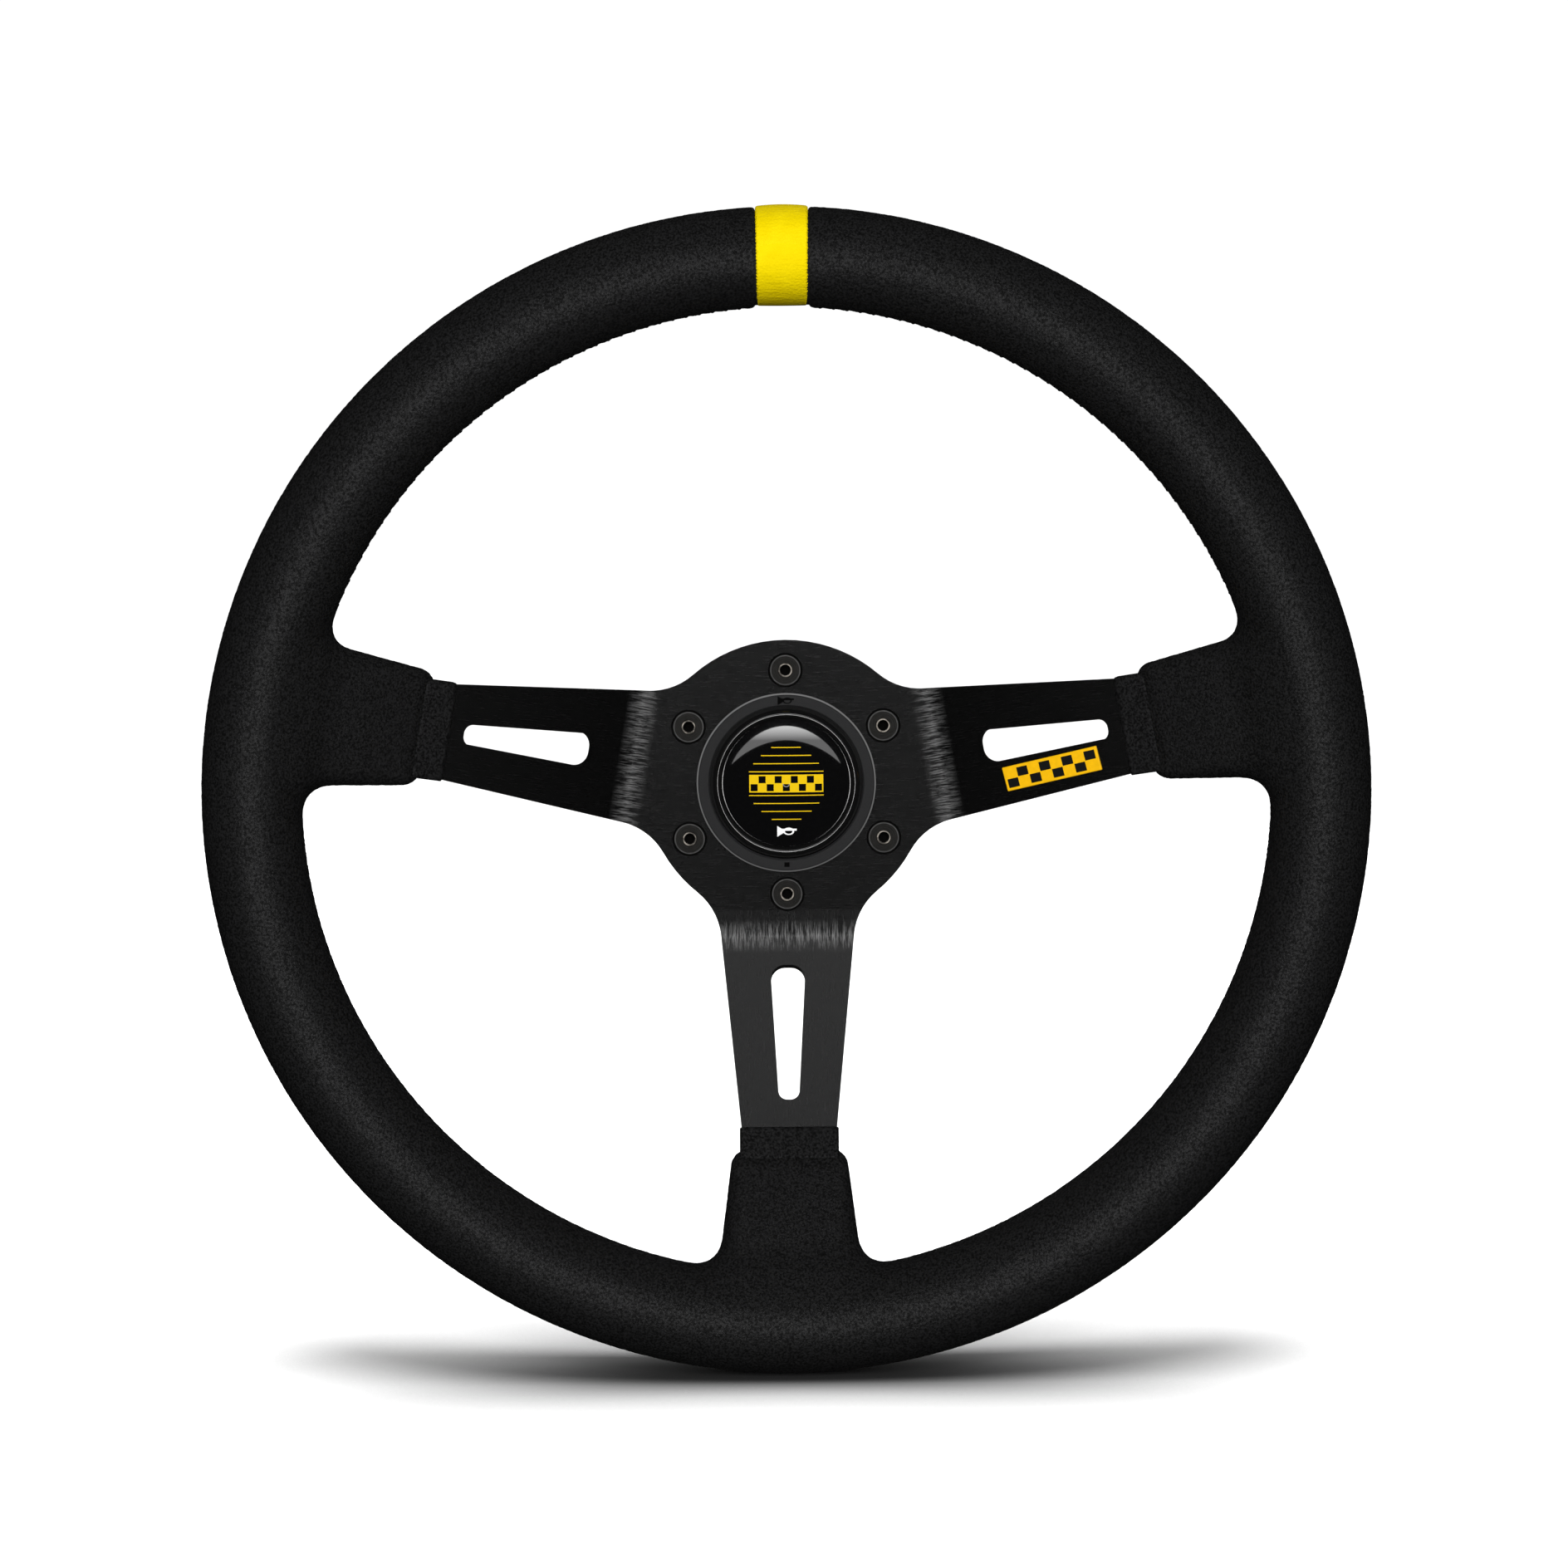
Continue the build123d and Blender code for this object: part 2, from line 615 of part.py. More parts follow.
def horn_housing():
    """The cup behind the button. Its lip holds the button in, and its ledge holds the lower contact."""
    cup = ring_profile(
        [
            (0, HOUSING_FLOOR),
            (HOUSING_RADIUS, HOUSING_FLOOR),
            (HOUSING_RADIUS, HOUSING_TOP),
            (HOUSING_LIP, HOUSING_TOP),
            (HOUSING_LIP, HOUSING_TOP - 1.0),
            (HOUSING_INNER, HOUSING_TOP - 1.0),
            (HOUSING_INNER, CONTACT_SEAT),
            (CONTACT_OUTER - 1.5, CONTACT_SEAT),
            (CONTACT_OUTER - 1.5, HOUSING_FLOOR + HOUSING_WALL),
            (SPRING_BOSS, HOUSING_FLOOR + HOUSING_WALL),
            (SPRING_BOSS, HOUSING_FLOOR + HOUSING_WALL + 3.0),
            (SPRING_BOSS - 2.5, HOUSING_FLOOR + HOUSING_WALL + 3.0),
            (SPRING_BOSS - 2.5, HOUSING_FLOOR + HOUSING_WALL),
            (0, HOUSING_FLOOR + HOUSING_WALL),
        ]
    )
    for blade in horn_terminals(0.05):
        cup -= blade
    return only_solid(cup)


def horn_terminals(clearance=0.0):
    """Two flat blades that carry the horn circuit from the lower contact through the housing floor."""
    length = CONTACT_SEAT - HOUSING_FLOOR + 4.0
    blade = Box(BLADE_WIDTH + 2 * clearance, BLADE_THICKNESS + 2 * clearance, length)
    middle = CONTACT_SEAT - length / 2
    return [Pos(0, side * BLADE_AT, middle) * blade for side in (-1, 1)]


def contact_ring(low):
    return tube(CONTACT_OUTER, CONTACT_INNER, low, low + CONTACT_THICKNESS)


def horn_cap():
    """The button: a rounded rim round the seat of the dome, and a skirt held behind the housing's lip."""
    seat_wall = HORN_DOME_RADIUS + 0.15
    skirt = HOUSING_LIP - 0.1
    bead_top = HOUSING_TOP - 1.05
    with BuildSketch(Plane.XZ) as section:
        with BuildLine():
            Polyline(
                (0, BUTTON_UNDERSIDE),
                (0, DOME_SEAT),
                (seat_wall, DOME_SEAT),
                (seat_wall, HORN_CAP_TOP - 1.0),
                (seat_wall + 0.55, HORN_CAP_TOP - 0.3),
            )
            ThreePointArc(
                (seat_wall + 0.55, HORN_CAP_TOP - 0.3),
                (seat_wall + 1.6, HORN_CAP_TOP),
                (HORN_CAP_RADIUS, HORN_CAP_TOP - 1.3),
            )
            Polyline(
                (HORN_CAP_RADIUS, HORN_CAP_TOP - 1.3),
                (HORN_CAP_RADIUS, HUB_FRONT - 1.0),
                (skirt, HUB_FRONT - 1.0),
                (skirt, bead_top),
                (HOUSING_INNER - 0.15, bead_top),
                (HOUSING_INNER - 0.15, MOVING_CONTACT_TOP),
                (CONTACT_OUTER - 2.0, MOVING_CONTACT_TOP),
                (CONTACT_OUTER - 2.0, MOVING_CONTACT_TOP + 1.2),
                (skirt - 1.4, MOVING_CONTACT_TOP + 1.2),
                (skirt - 1.4, BUTTON_UNDERSIDE),
                (0, BUTTON_UNDERSIDE),
            )
        make_face()
    return only_solid(revolve(section.sketch, Axis.Z, 360))


def horn_dome():
    """The domed face of the button, a shallow part of a sphere on a short cylinder."""
    base, crown = DOME_SEAT + 0.05, DOME_SEAT + DOME_HEIGHT
    rise = crown - DOME_EDGE
    sphere = (HORN_DOME_RADIUS**2 + rise**2) / (2 * rise)
    return only_solid(disc(HORN_DOME_RADIUS, base, crown + 1) & Pos(0, 0, crown - sphere) * Sphere(sphere))


def main():
    os.makedirs("parts", exist_ok=True)
    frame = spoke_frame()
    welds = [w - hoop(HOOP_RADIUS) - frame for w in hoop_welds()]
    left, right, strip = cover_parts(frame)
    save("spoke_frame", frame)
    save("rim_hoop", hoop(HOOP_RADIUS))
    save("hoop_welds", *welds)
    save("grip_foam", grip_foam(frame, welds))
    save("grip_cover_left", left)
    save("grip_cover_right", right)
    save("centre_mark", strip)
    save("seam_thread", *seam_threads())
    save("spoke_badge", spoke_badge())
    save("wheel_bolts", *wheel_bolts())
    save("adapter", adapter())
    save("socket_body", socket_body())
    save("socket_bolts", *socket_bolts())
    save("pilot_seal", pilot_seal())
    save("collar_stop_ring", collar_stop_ring())
    save("release_collar", release_collar())
    save("collar_spring", coil(COLLAR_SPRING, COLLAR_GUIDE_END, SOCKET_LENGTH - SOCKET_FLANGE))
    for i in range(BALL_COUNT):
        ball = Pos(BALL_CENTRE, 0, BALL_PLANE) * Sphere(BALL_RADIUS)
        save(f"lock_ball_{i + 1}", turned_to(ball_direction(i), ball))
    save("horn_ring", horn_ring())
    save("horn_housing", horn_housing())
    save("horn_terminals", *horn_terminals())
    save("horn_contact_fixed", contact_ring(CONTACT_SEAT))
    save("horn_contact_moving", contact_ring(MOVING_CONTACT))
    save("horn_spring", coil(HORN_SPRING, HOUSING_FLOOR + HOUSING_WALL, BUTTON_UNDERSIDE))
    save("horn_cap", horn_cap())
    save("horn_dome", horn_dome())


main()
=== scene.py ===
import json
import math

import bmesh
import bpy
import numpy as np
from mathutils import Matrix, Vector

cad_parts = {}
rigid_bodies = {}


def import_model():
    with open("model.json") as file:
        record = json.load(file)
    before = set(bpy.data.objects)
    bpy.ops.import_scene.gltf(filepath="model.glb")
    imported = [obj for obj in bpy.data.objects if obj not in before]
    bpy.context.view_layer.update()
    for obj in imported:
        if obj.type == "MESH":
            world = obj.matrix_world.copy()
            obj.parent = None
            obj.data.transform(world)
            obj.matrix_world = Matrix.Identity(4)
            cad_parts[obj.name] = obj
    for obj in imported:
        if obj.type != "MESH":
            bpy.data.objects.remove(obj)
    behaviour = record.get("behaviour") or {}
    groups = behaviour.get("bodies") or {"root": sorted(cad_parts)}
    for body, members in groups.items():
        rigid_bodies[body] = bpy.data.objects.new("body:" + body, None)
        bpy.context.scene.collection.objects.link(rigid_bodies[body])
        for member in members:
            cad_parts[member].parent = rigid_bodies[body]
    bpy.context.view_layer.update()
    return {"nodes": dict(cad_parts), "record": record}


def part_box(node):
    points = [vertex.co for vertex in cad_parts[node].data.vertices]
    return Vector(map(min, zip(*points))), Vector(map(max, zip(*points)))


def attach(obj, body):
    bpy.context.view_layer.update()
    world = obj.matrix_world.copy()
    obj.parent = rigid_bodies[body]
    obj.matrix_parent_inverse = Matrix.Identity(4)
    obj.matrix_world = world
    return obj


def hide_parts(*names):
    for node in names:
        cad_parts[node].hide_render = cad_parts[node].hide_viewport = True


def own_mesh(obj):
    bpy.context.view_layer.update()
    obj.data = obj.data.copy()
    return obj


# The looks of the quick release steering wheel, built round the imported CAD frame.
#
# The frame's +Y is the steering axis, away from the driver, and +Z is up. "Depth" below is measured from the
# middle plane of the rim towards the driver, so depth = RIM_Y - y. All sizes are in metres.

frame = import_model()

MM = 0.001

# Sizes that the frame gives
COVER_LOW, COVER_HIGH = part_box("grip_cover_left")
HOOP_LOW, HOOP_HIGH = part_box("rim_hoop")
MARK_LOW, MARK_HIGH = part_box("centre_mark")

RIM_Y = (HOOP_LOW.y + HOOP_HIGH.y) / 2
RIM_OUTER = MARK_HIGH.z
HALF_WIDTH = (MARK_HIGH.z - MARK_LOW.z) / 2 - 0.05 * MM  # of the grip's section, in the plane of the rim
HALF_DEPTH = (MARK_HIGH.y - MARK_LOW.y) / 2  # of the grip's section, along the steering axis
RIM_RADIUS = RIM_OUTER - HALF_WIDTH
RIM_RADIUS_INNER = RIM_RADIUS - HALF_WIDTH
HOOP_CIRCLE = HOOP_HIGH.x - (HOOP_HIGH.y - HOOP_LOW.y) / 2

# The spokes, as they are in the frame
SPOKE_ANGLES = [math.radians(a) for a in (10, 170, 270)]
BEND_AT = 48 * MM
PLATE = 4 * MM
BOLT_CIRCLE = 70 * MM
HUB_MIDDLE = 46 * MM  # from the rim's plane back to the middle of the hub plate
RISE = HUB_MIDDLE / (HOOP_CIRCLE - BEND_AT)
SLOPE = math.atan(RISE)

# The badge on the right spoke: its middle along the spoke and across it, and its size
BADGE_ALONG, BADGE_ACROSS = 81.4 * MM, -9.6 * MM
BADGE_LENGTH, BADGE_WIDTH, BADGE_HEIGHT = 31.5 * MM, 7.6 * MM, 0.7 * MM
BADGE_TILT = 4.5  # degrees from the line of the spoke

# The padded root of each spoke
SLEEVE_START = 105 * MM
SLEEVE_HALF = 15.2 * MM
ANCHOR_START = 111 * MM
ANCHOR_HALF = 17.4 * MM  # half width where it starts, and how fast it widens and deepens towards the rim
ANCHOR_SPREAD = 0.13
ANCHOR_DEPTH = 3.1 * MM
ANCHOR_DEEPEN = 0.24
ANCHOR_LEVEL = 45 * MM  # length over which the deepening fades
ANCHOR_END = 158 * MM
ANCHOR_CORNER = 0.8  # radius of its long edges, as a share of its half depth
SHOULDER = 4.5 * MM
GRIP_FILLET = 10 * MM  # between the root and the rim, down to nothing inside the rim
FILLET_FADE = 15 * MM
FILLET_LEAST = 0.02  # share of the fillet that is left at the root's far end

# The lacing along the inside of the rim
STITCH_PITCH = 4.0 * MM
STITCH_REACH = 2.1 * MM
STITCH_LOW, STITCH_RISE = -0.80 * MM, 0.58 * MM  # of its ends, and how far its middle stands above them
STITCH_SLANT = 0.42  # of the pitch
THREAD_RADIUS = 0.32 * MM
SEAM_MARGIN = math.radians(13.5)  # half of the gap that it leaves at each spoke
SEAM_LEAD, SEAM_FADE = 0.02, 0.03  # radians over which the groove begins
GROOVE_DEPTH, GROOVE_WIDTH = 0.75 * MM, 0.8 * MM
PULL_DEPTH, PULL_WIDTH = 0.28 * MM, 1.1 * MM  # of the dimple under each stitch

# The mark, and the cover's ends beside it
MARK_HALF = 7.85 * MM
MARK_CLEAR = 1.5 * MM  # from the mark to the nearest stitch
END_ROUND = 1.2 * MM  # radius of the cover's rolled end
END_CUTS = [0.0, 0.15 * MM, 0.45 * MM, 0.9 * MM, 1.7 * MM]
SEAM_CUTS = [0.0, -0.6 * MM, 0.6 * MM, -1.3 * MM, 1.3 * MM]

# The mesh of the cover
CELL, QUICK_CELL = 0.95 * MM, 2.0 * MM
CELL_MARGIN = 3 * MM
SNAP = 0.02 * MM  # points this near a cut move onto it
NAP = 0.07 * MM
FLATTEST = 0.2  # least squared slope that a step onto the surface is divided by


# Meshes


def new_object(name, mesh):
    piece = bpy.data.objects.new(name, mesh)
    bpy.context.scene.collection.objects.link(piece)
    return piece


def mesh_from(name, points, faces, smooth=True):
    bm = bmesh.new()
    verts = [bm.verts.new(p) for p in points]
    for face in faces:
        bm.faces.new([verts[i] for i in face]).smooth = smooth
    bmesh.ops.recalc_face_normals(bm, faces=bm.faces)
    mesh = bpy.data.meshes.new(name)
    bm.to_mesh(mesh)
    bm.free()
    return mesh


def join_meshes(parts):
    """Points and faces of several (points, faces) pairs as one pair."""
    points, faces, offset = [], [], 0
    for part_points, part_faces in parts:
        points.extend(part_points)
        faces.extend([tuple(i + offset for i in f) for f in part_faces])
        offset += len(part_points)
    return points, faces


def loft(rings, closed=False):
    """Faces that join rings of equally many points. Closed joins the last ring to the first."""
    count, size = len(rings), len(rings[0])
    points = [p for ring in rings for p in ring]
    faces = []
    for i in range(count if closed else count - 1):
        a, b = i * size, (i + 1) % count * size
        for j in range(size):
            k = (j + 1) % size
            faces.append((a + j, a + k, b + k, b + j))
    if not closed:
        faces.append(tuple(range(size))[::-1])
        faces.append(tuple(range((count - 1) * size, count * size)))
    return points, faces


def tubes(paths, radius, sides=6):
    """A round thread of the given radius along each path, with its ends closed."""
    parts = []
    for path in paths:
        path = np.asarray(path, float)
        tangent = np.gradient(path, axis=0)
        tangent /= np.linalg.norm(tangent, axis=1)[:, None]
        side = np.cross(tangent, (0.0, 1.0, 0.0))
        flat = np.linalg.norm(side, axis=1) < 0.2
        side[flat] = np.cross(tangent[flat], (1.0, 0.0, 0.0))
        side /= np.linalg.norm(side, axis=1)[:, None]
        up = np.cross(side, tangent)
        turn = np.arange(sides) * 2 * math.pi / sides
        rings = [
            [tuple(p + radius * (math.cos(t) * s + math.sin(t) * u)) for t in turn]
            for p, s, u in zip(path, side, up)
        ]
        parts.append(loft(rings))
    return join_meshes(parts)


# The shape of the grip, as a distance that is negative inside it


def smooth_min(a, b, radius):
    blend = np.maximum(radius - np.abs(a - b), 0) / radius
    return np.minimum(a, b) - blend * blend * radius / 4


def ellipse_distance(u, v, half_u, half_v):
    k0 = np.hypot(u / half_u, v / half_v)
    k1 = np.hypot(u / half_u**2, v / half_v**2) + 1e-6
    return k0 * (k0 - 1) / k1


def rounded_corner(u, v):
    """Distance to the corner where u and v are both zero, with both negative inside it."""
    return np.hypot(np.maximum(u, 0), np.maximum(v, 0)) + np.minimum(np.maximum(u, v), 0)


def anchor_distance(x, depth, z, angle):
    """The padded root of one spoke: a rounded bar that widens and deepens towards the rim."""
    along = x * math.cos(angle) + z * math.sin(angle)
    across = z * math.cos(angle) - x * math.sin(angle)
    height = (depth - RISE * (along - HOOP_CIRCLE)) * math.cos(SLOPE)
    growth = along - ANCHOR_START
    half_width = ANCHOR_HALF + ANCHOR_SPREAD * growth
    half_depth = ANCHOR_DEPTH + ANCHOR_DEEPEN * ANCHOR_LEVEL * np.tanh(growth / ANCHOR_LEVEL)
    corner = ANCHOR_CORNER * half_depth
    bar = rounded_corner(np.abs(across) - half_width + corner, np.abs(height) - half_depth + corner) - corner
    bar = np.maximum(bar, along - ANCHOR_END) + SHOULDER
    return rounded_corner(bar, SHOULDER - growth) - SHOULDER


def seam_depth(across, depth, turn):
    """How far the cover is pulled in by its lacing along the inside of the rim."""
    away = np.full(turn.shape, math.pi)
    for angle in SPOKE_ANGLES:
        gap = np.abs((turn - angle + math.pi) % (2 * math.pi) - math.pi)
        away = np.minimum(away, gap)
    fade = np.clip((away - SEAM_MARGIN + SEAM_LEAD) / SEAM_FADE, 0, 1) * (across < 0)
    groove = GROOVE_DEPTH * np.exp(-((depth / GROOVE_WIDTH) ** 2))
    beat = 0.5 + 0.5 * np.cos(turn * RIM_RADIUS_INNER / STITCH_PITCH * 2 * math.pi)
    pull = PULL_DEPTH * beat * np.exp(-(((np.abs(depth) - STITCH_REACH) / PULL_WIDTH) ** 2))
    return fade * (groove + pull)


def grip_distance(points):
    x, depth, z = points[..., 0], RIM_Y - points[..., 1], points[..., 2]
    across = np.hypot(x, z) - RIM_RADIUS
    field = ellipse_distance(across, depth, HALF_WIDTH, HALF_DEPTH)
    field = field + seam_depth(across, depth, np.arctan2(z, x))
    for angle in SPOKE_ANGLES:
        along = x * math.cos(angle) + z * math.sin(angle)
        fillet = GRIP_FILLET * np.clip((ANCHOR_END - along) / FILLET_FADE, FILLET_LEAST, 1)
        field = smooth_min(field, anchor_distance(x, depth, z, angle), fillet)
    return field


def gradient(distance, points, reach=0.05 * MM):
    steps = np.eye(3) * reach
    parts = [distance(points + s) - distance(points - s) for s in steps]
    return np.stack(parts, axis=-1) / (2 * reach)


def surface_net(distance, low, high, step):
    """Points and four-sided faces of the surface where a distance is zero, from a grid of samples."""
    counts = [int(math.ceil((h - l) / step)) + 1 for l, h in zip(low, high)]
    axes = [l + step * np.arange(n) for l, n in zip(low, counts)]
    values = np.empty(counts, np.float32)
    for i, x in enumerate(axes[0]):
        y, z = np.meshgrid(axes[1], axes[2], indexing="ij")
        values[i] = distance(np.stack([np.full_like(y, x), y, z], axis=-1))
    inside = values < 0
    corners = [(a, b, c) for a in (0, 1) for b in (0, 1) for c in (0, 1)]
    cells = tuple(n - 1 for n in counts)

    def corner(grid, offset):
        return grid[tuple(slice(o, o + n) for o, n in zip(offset, cells))]

    total = sum(corner(inside, c).astype(np.uint8) for c in corners)
    active = (total > 0) & (total < len(corners))
    index = np.full(cells, -1, np.int64)
    index[active] = np.arange(int(active.sum()))
    where = np.argwhere(active)
    at = {c: values[tuple((where + c).T)].astype(float) for c in corners}
    sums, hits = np.zeros((len(where), 3)), np.zeros(len(where))
    for a in corners:
        for axis in range(3):
            if a[axis]:
                continue
            b = tuple(v + (k == axis) for k, v in enumerate(a))
            crossing = (at[a] < 0) != (at[b] < 0)
            share = np.where(crossing, at[a] / np.where(crossing, at[a] - at[b], 1), 0)
            spot = np.array(a, float) + share[:, None] * np.eye(3)[axis]
            sums += np.where(crossing[:, None], spot, 0)
            hits += crossing
    points = np.array(low) + step * (where + sums / hits[:, None])
    faces = []
    for axis in range(3):
        one, two = (axis + 1) % 3, (axis + 2) % 3
        ahead = np.roll(inside, -1, axis)
        edge = inside != ahead
        trim = [slice(1, n - 1) for n in counts]
        trim[axis] = slice(0, counts[axis] - 1)
        mask = np.zeros_like(edge)
        mask[tuple(trim)] = edge[tuple(trim)]
        spots = np.argwhere(mask)
        outward = inside[tuple(spots.T)]
        ring = []
        for back_one, back_two in ((1, 1), (0, 1), (0, 0), (1, 0)):
            cell = spots.copy()
            cell[:, one] -= back_one
            cell[:, two] -= back_two
            ring.append(index[tuple(cell.T)])
        quads = np.stack(ring, axis=1)
        quads[~outward] = quads[~outward][:, ::-1]
        faces.append(quads)
    return points, np.concatenate(faces)


# Grip covers


def settle(points, distance, held=None, rounds=4):
    """Moves points onto the surface. Held marks points that keep their x, such as those on a cut."""
    for _ in range(rounds):
        slope = gradient(distance, points)
        if held is not None:
            slope[held, 0] = 0
        push = distance(points) / np.maximum((slope * slope).sum(axis=1), FLATTEST)
        points = points - push[:, None] * slope
    return points


def bm_points(bm):
    return np.array([v.co for v in bm.verts])


def cut_plane(bm, spot, normal, chosen):
    """Cuts the faces whose middle is chosen along a plane, so that an edge runs there."""
    faces = [f for f in bm.faces if chosen(f.calc_center_median())]
    edges = {e for f in faces for e in f.edges}
    verts = {v for f in faces for v in f.verts}
    geometry = list(verts) + list(edges) + faces
    bmesh.ops.bisect_plane(bm, geom=geometry, plane_co=spot, plane_no=normal, dist=SNAP)


def grip_surface():
    """The whole outside of the grip, cut where the cover's halves and the mark meet."""
    step = CELL
    margin = Vector((CELL_MARGIN,) * 3)
    low = Vector((COVER_LOW.x, COVER_LOW.y, COVER_LOW.z)) - margin
    high = Vector((-COVER_LOW.x, COVER_HIGH.y, COVER_HIGH.z)) + margin
    points, faces = surface_net(grip_distance, low, high, step)
    points = settle(points, grip_distance, rounds=2)
    bm = bmesh.new()
    verts = [bm.verts.new(p) for p in points]
    for face in faces:
        bm.faces.new([verts[i] for i in face])
    cut_plane(bm, (0, 0, 0), (1, 0, 0), lambda c: abs(c.x) < 3 * MM)
    for away in END_CUTS:
        for side in (-1, 1):
            spot = (side * (MARK_HALF + away), 0, 0)
            cut_plane(bm, spot, (1, 0, 0), lambda c: c.z > 0 and abs(c.x) < MARK_HALF + 6 * MM)
    for depth in SEAM_CUTS:
        cut_plane(
            bm, (0, RIM_Y - depth, 0), (0, 1, 0),
            lambda c: math.hypot(c.x, c.z) < RIM_RADIUS and abs(RIM_Y - c.y) < 5 * MM,
        )
    points = bm_points(bm)
    held = np.zeros(len(points), bool)
    for x in [0.0] + [MARK_HALF + a for a in END_CUTS]:
        held |= np.abs(np.abs(points[:, 0]) - x) < 0.05 * MM
    points = settle(points, grip_distance, held)
    for vert, point in zip(bm.verts, points):
        vert.co = point
    return bm


def cover_half(whole, name, side):
    """One half of the cover as a closed piece, rolled in at its end beside the mark."""
    bm = whole.copy()
    away = []
    for face in bm.faces:
        c = face.calc_center_median()
        on_side = c.x * side > 0
        in_mark = c.z > 0 and abs(c.x) < MARK_HALF
        if not on_side or in_mark:
            away.append(face)
    bmesh.ops.delete(bm, geom=away, context="FACES")
    points = bm_points(bm)
    slope = gradient(grip_distance, points)
    slope /= np.linalg.norm(slope, axis=1)[:, None]
    from_end = np.where(points[:, 2] > 0, np.abs(points[:, 0]) - MARK_HALF, 1.0)
    inset = np.clip(END_ROUND - from_end, 0, END_ROUND)
    short_of_upright = 0.98
    drop = END_ROUND - np.sqrt(END_ROUND**2 - inset**2 * short_of_upright)
    inward = slope.copy()
    inward[:, 0] = 0
    points -= drop[:, None] * inward
    rng = np.random.default_rng(7 if side > 0 else 8)
    free = (np.abs(points[:, 0]) > 0.5 * MM) & (from_end > END_ROUND)
    points += (slope * rng.uniform(-NAP, NAP, len(points))[:, None]) * free[:, None]
    for vert, point in zip(bm.verts, points):
        vert.co = point
    bmesh.ops.holes_fill(bm, edges=[e for e in bm.edges if e.is_boundary], sides=0)
    most_corners = 12  # of a face of the outside; the faces that close the ends have many more
    for face in bm.faces:
        face.smooth = len(face.verts) <= most_corners
    mesh = bpy.data.meshes.new(name)
    bm.to_mesh(mesh)
    bm.free()
    mesh.normals_split_custom_set_from_vertices(slope.tolist())
    return new_object(name, mesh)


def rounded_outline(half_width, half_height, corner, per_corner=8):
    """Points round a rectangle with rounded corners, anticlockwise."""
    outline = []
    corners = ((1, 1), (-1, 1), (-1, -1), (1, -1))
    for quarter, (sx, sy) in enumerate(corners):
        middle = (sx * (half_width - corner), sy * (half_height - corner))
        for i in range(per_corner + 1):
            turn = (quarter + i / per_corner) * math.pi / 2
            outline.append((middle[0] + corner * math.cos(turn), middle[1] + corner * math.sin(turn)))
    return outline


def on_spoke(angle, along, across, height):
    """A point given along a spoke, across it and above its middle plane, in the frame."""
    depth = RISE * (along - HOOP_CIRCLE) + height * math.cos(SLOPE)
    reach = along - height * math.sin(SLOPE)
    x = reach * math.cos(angle) - across * math.sin(angle)
    z = reach * math.sin(angle) + across * math.cos(angle)
    return (x, RIM_Y - depth, z)


def sleeve(angle):
    """The cover's thin tail round the spoke: a flat tube with a cut edge."""
    thick, edge, length = 0.75 * MM, 0.25 * MM, 10 * MM
    clear, tight_corner = 0.02 * MM, 0.1 * MM  # of the tube's inside
    half_height = PLATE / 2 + thick
    plate_half = SLEEVE_HALF - thick
    stations = [(SLEEVE_START, edge), (SLEEVE_START + edge, 0.0)]
    stations += [(SLEEVE_START + s * MM, 0.0) for s in range(1, 9)] + [(SLEEVE_START + length, 0.0)]
    rings = []
    for along, inset in stations:
        outline = rounded_outline(SLEEVE_HALF - inset, half_height - inset, thick * 1.3)
        rings.append([on_spoke(angle, along, a, h) for a, h in outline])
    for along in (SLEEVE_START + length, SLEEVE_START):
        outline = rounded_outline(plate_half, PLATE / 2 + clear, tight_corner)
        rings.append([on_spoke(angle, along, a, h) for a, h in outline])
    return loft(rings, closed=True)


def centre_mark():
    """The yellow strip: a closed band round the grip's section, slightly proud of the cover."""
    around = 720
    inner_depth, corner, crown = 2.2 * MM, 0.8 * MM, 0.22 * MM
    steps, flats = 6, 20
    quarter = [math.pi / 2 * i / steps for i in range(steps + 1)]
    # Each entry of the profile: its share of the half width, how far it is sunk, and how far it is set back
    profile = [(-1.0, inner_depth, 0.0)]
    for turn in quarter:
        profile.append((-1.0, corner * (1 - math.sin(turn)), -corner * (1 - math.cos(turn))))
    for i in range(1, flats):
        profile.append((-1.0 + 2 * i / flats, None, None))
    for turn in quarter[::-1]:
        profile.append((1.0, corner * (1 - math.sin(turn)), corner * (1 - math.cos(turn))))
    profile.append((1.0, inner_depth, 0.0))
    rings = []
    for i in range(around):
        turn = 2 * math.pi * i / around
        inside = (1 - math.cos(turn)) / 2  # 0 at the outside of the rim, 1 at its inside
        half = MARK_HALF - (0.1 + 0.32 * inside) * MM
        wave = 0.07 * MM * math.sin(turn * 88) + 0.05 * MM * math.sin(turn * 31 + 1)
        lift = (0.35 - 1.0 * inside) * MM
        ring = []
        for share, sink, back in profile:
            if sink is None:
                x = share * (half - corner)
                bulge = crown * (1 - share**2)
            else:
                x = share * half - share * abs(back)
                x += share * wave if sink < inner_depth else 0
                bulge = -sink
            width = HALF_WIDTH + lift + bulge
            depth = (HALF_DEPTH + 0.1 * MM + bulge) * math.sin(turn)
            out = RIM_RADIUS + width * math.cos(turn)
            ring.append((x, RIM_Y - depth, math.sqrt(out * out - x * x)))
        rings.append(ring)
    return loft(rings, closed=True)


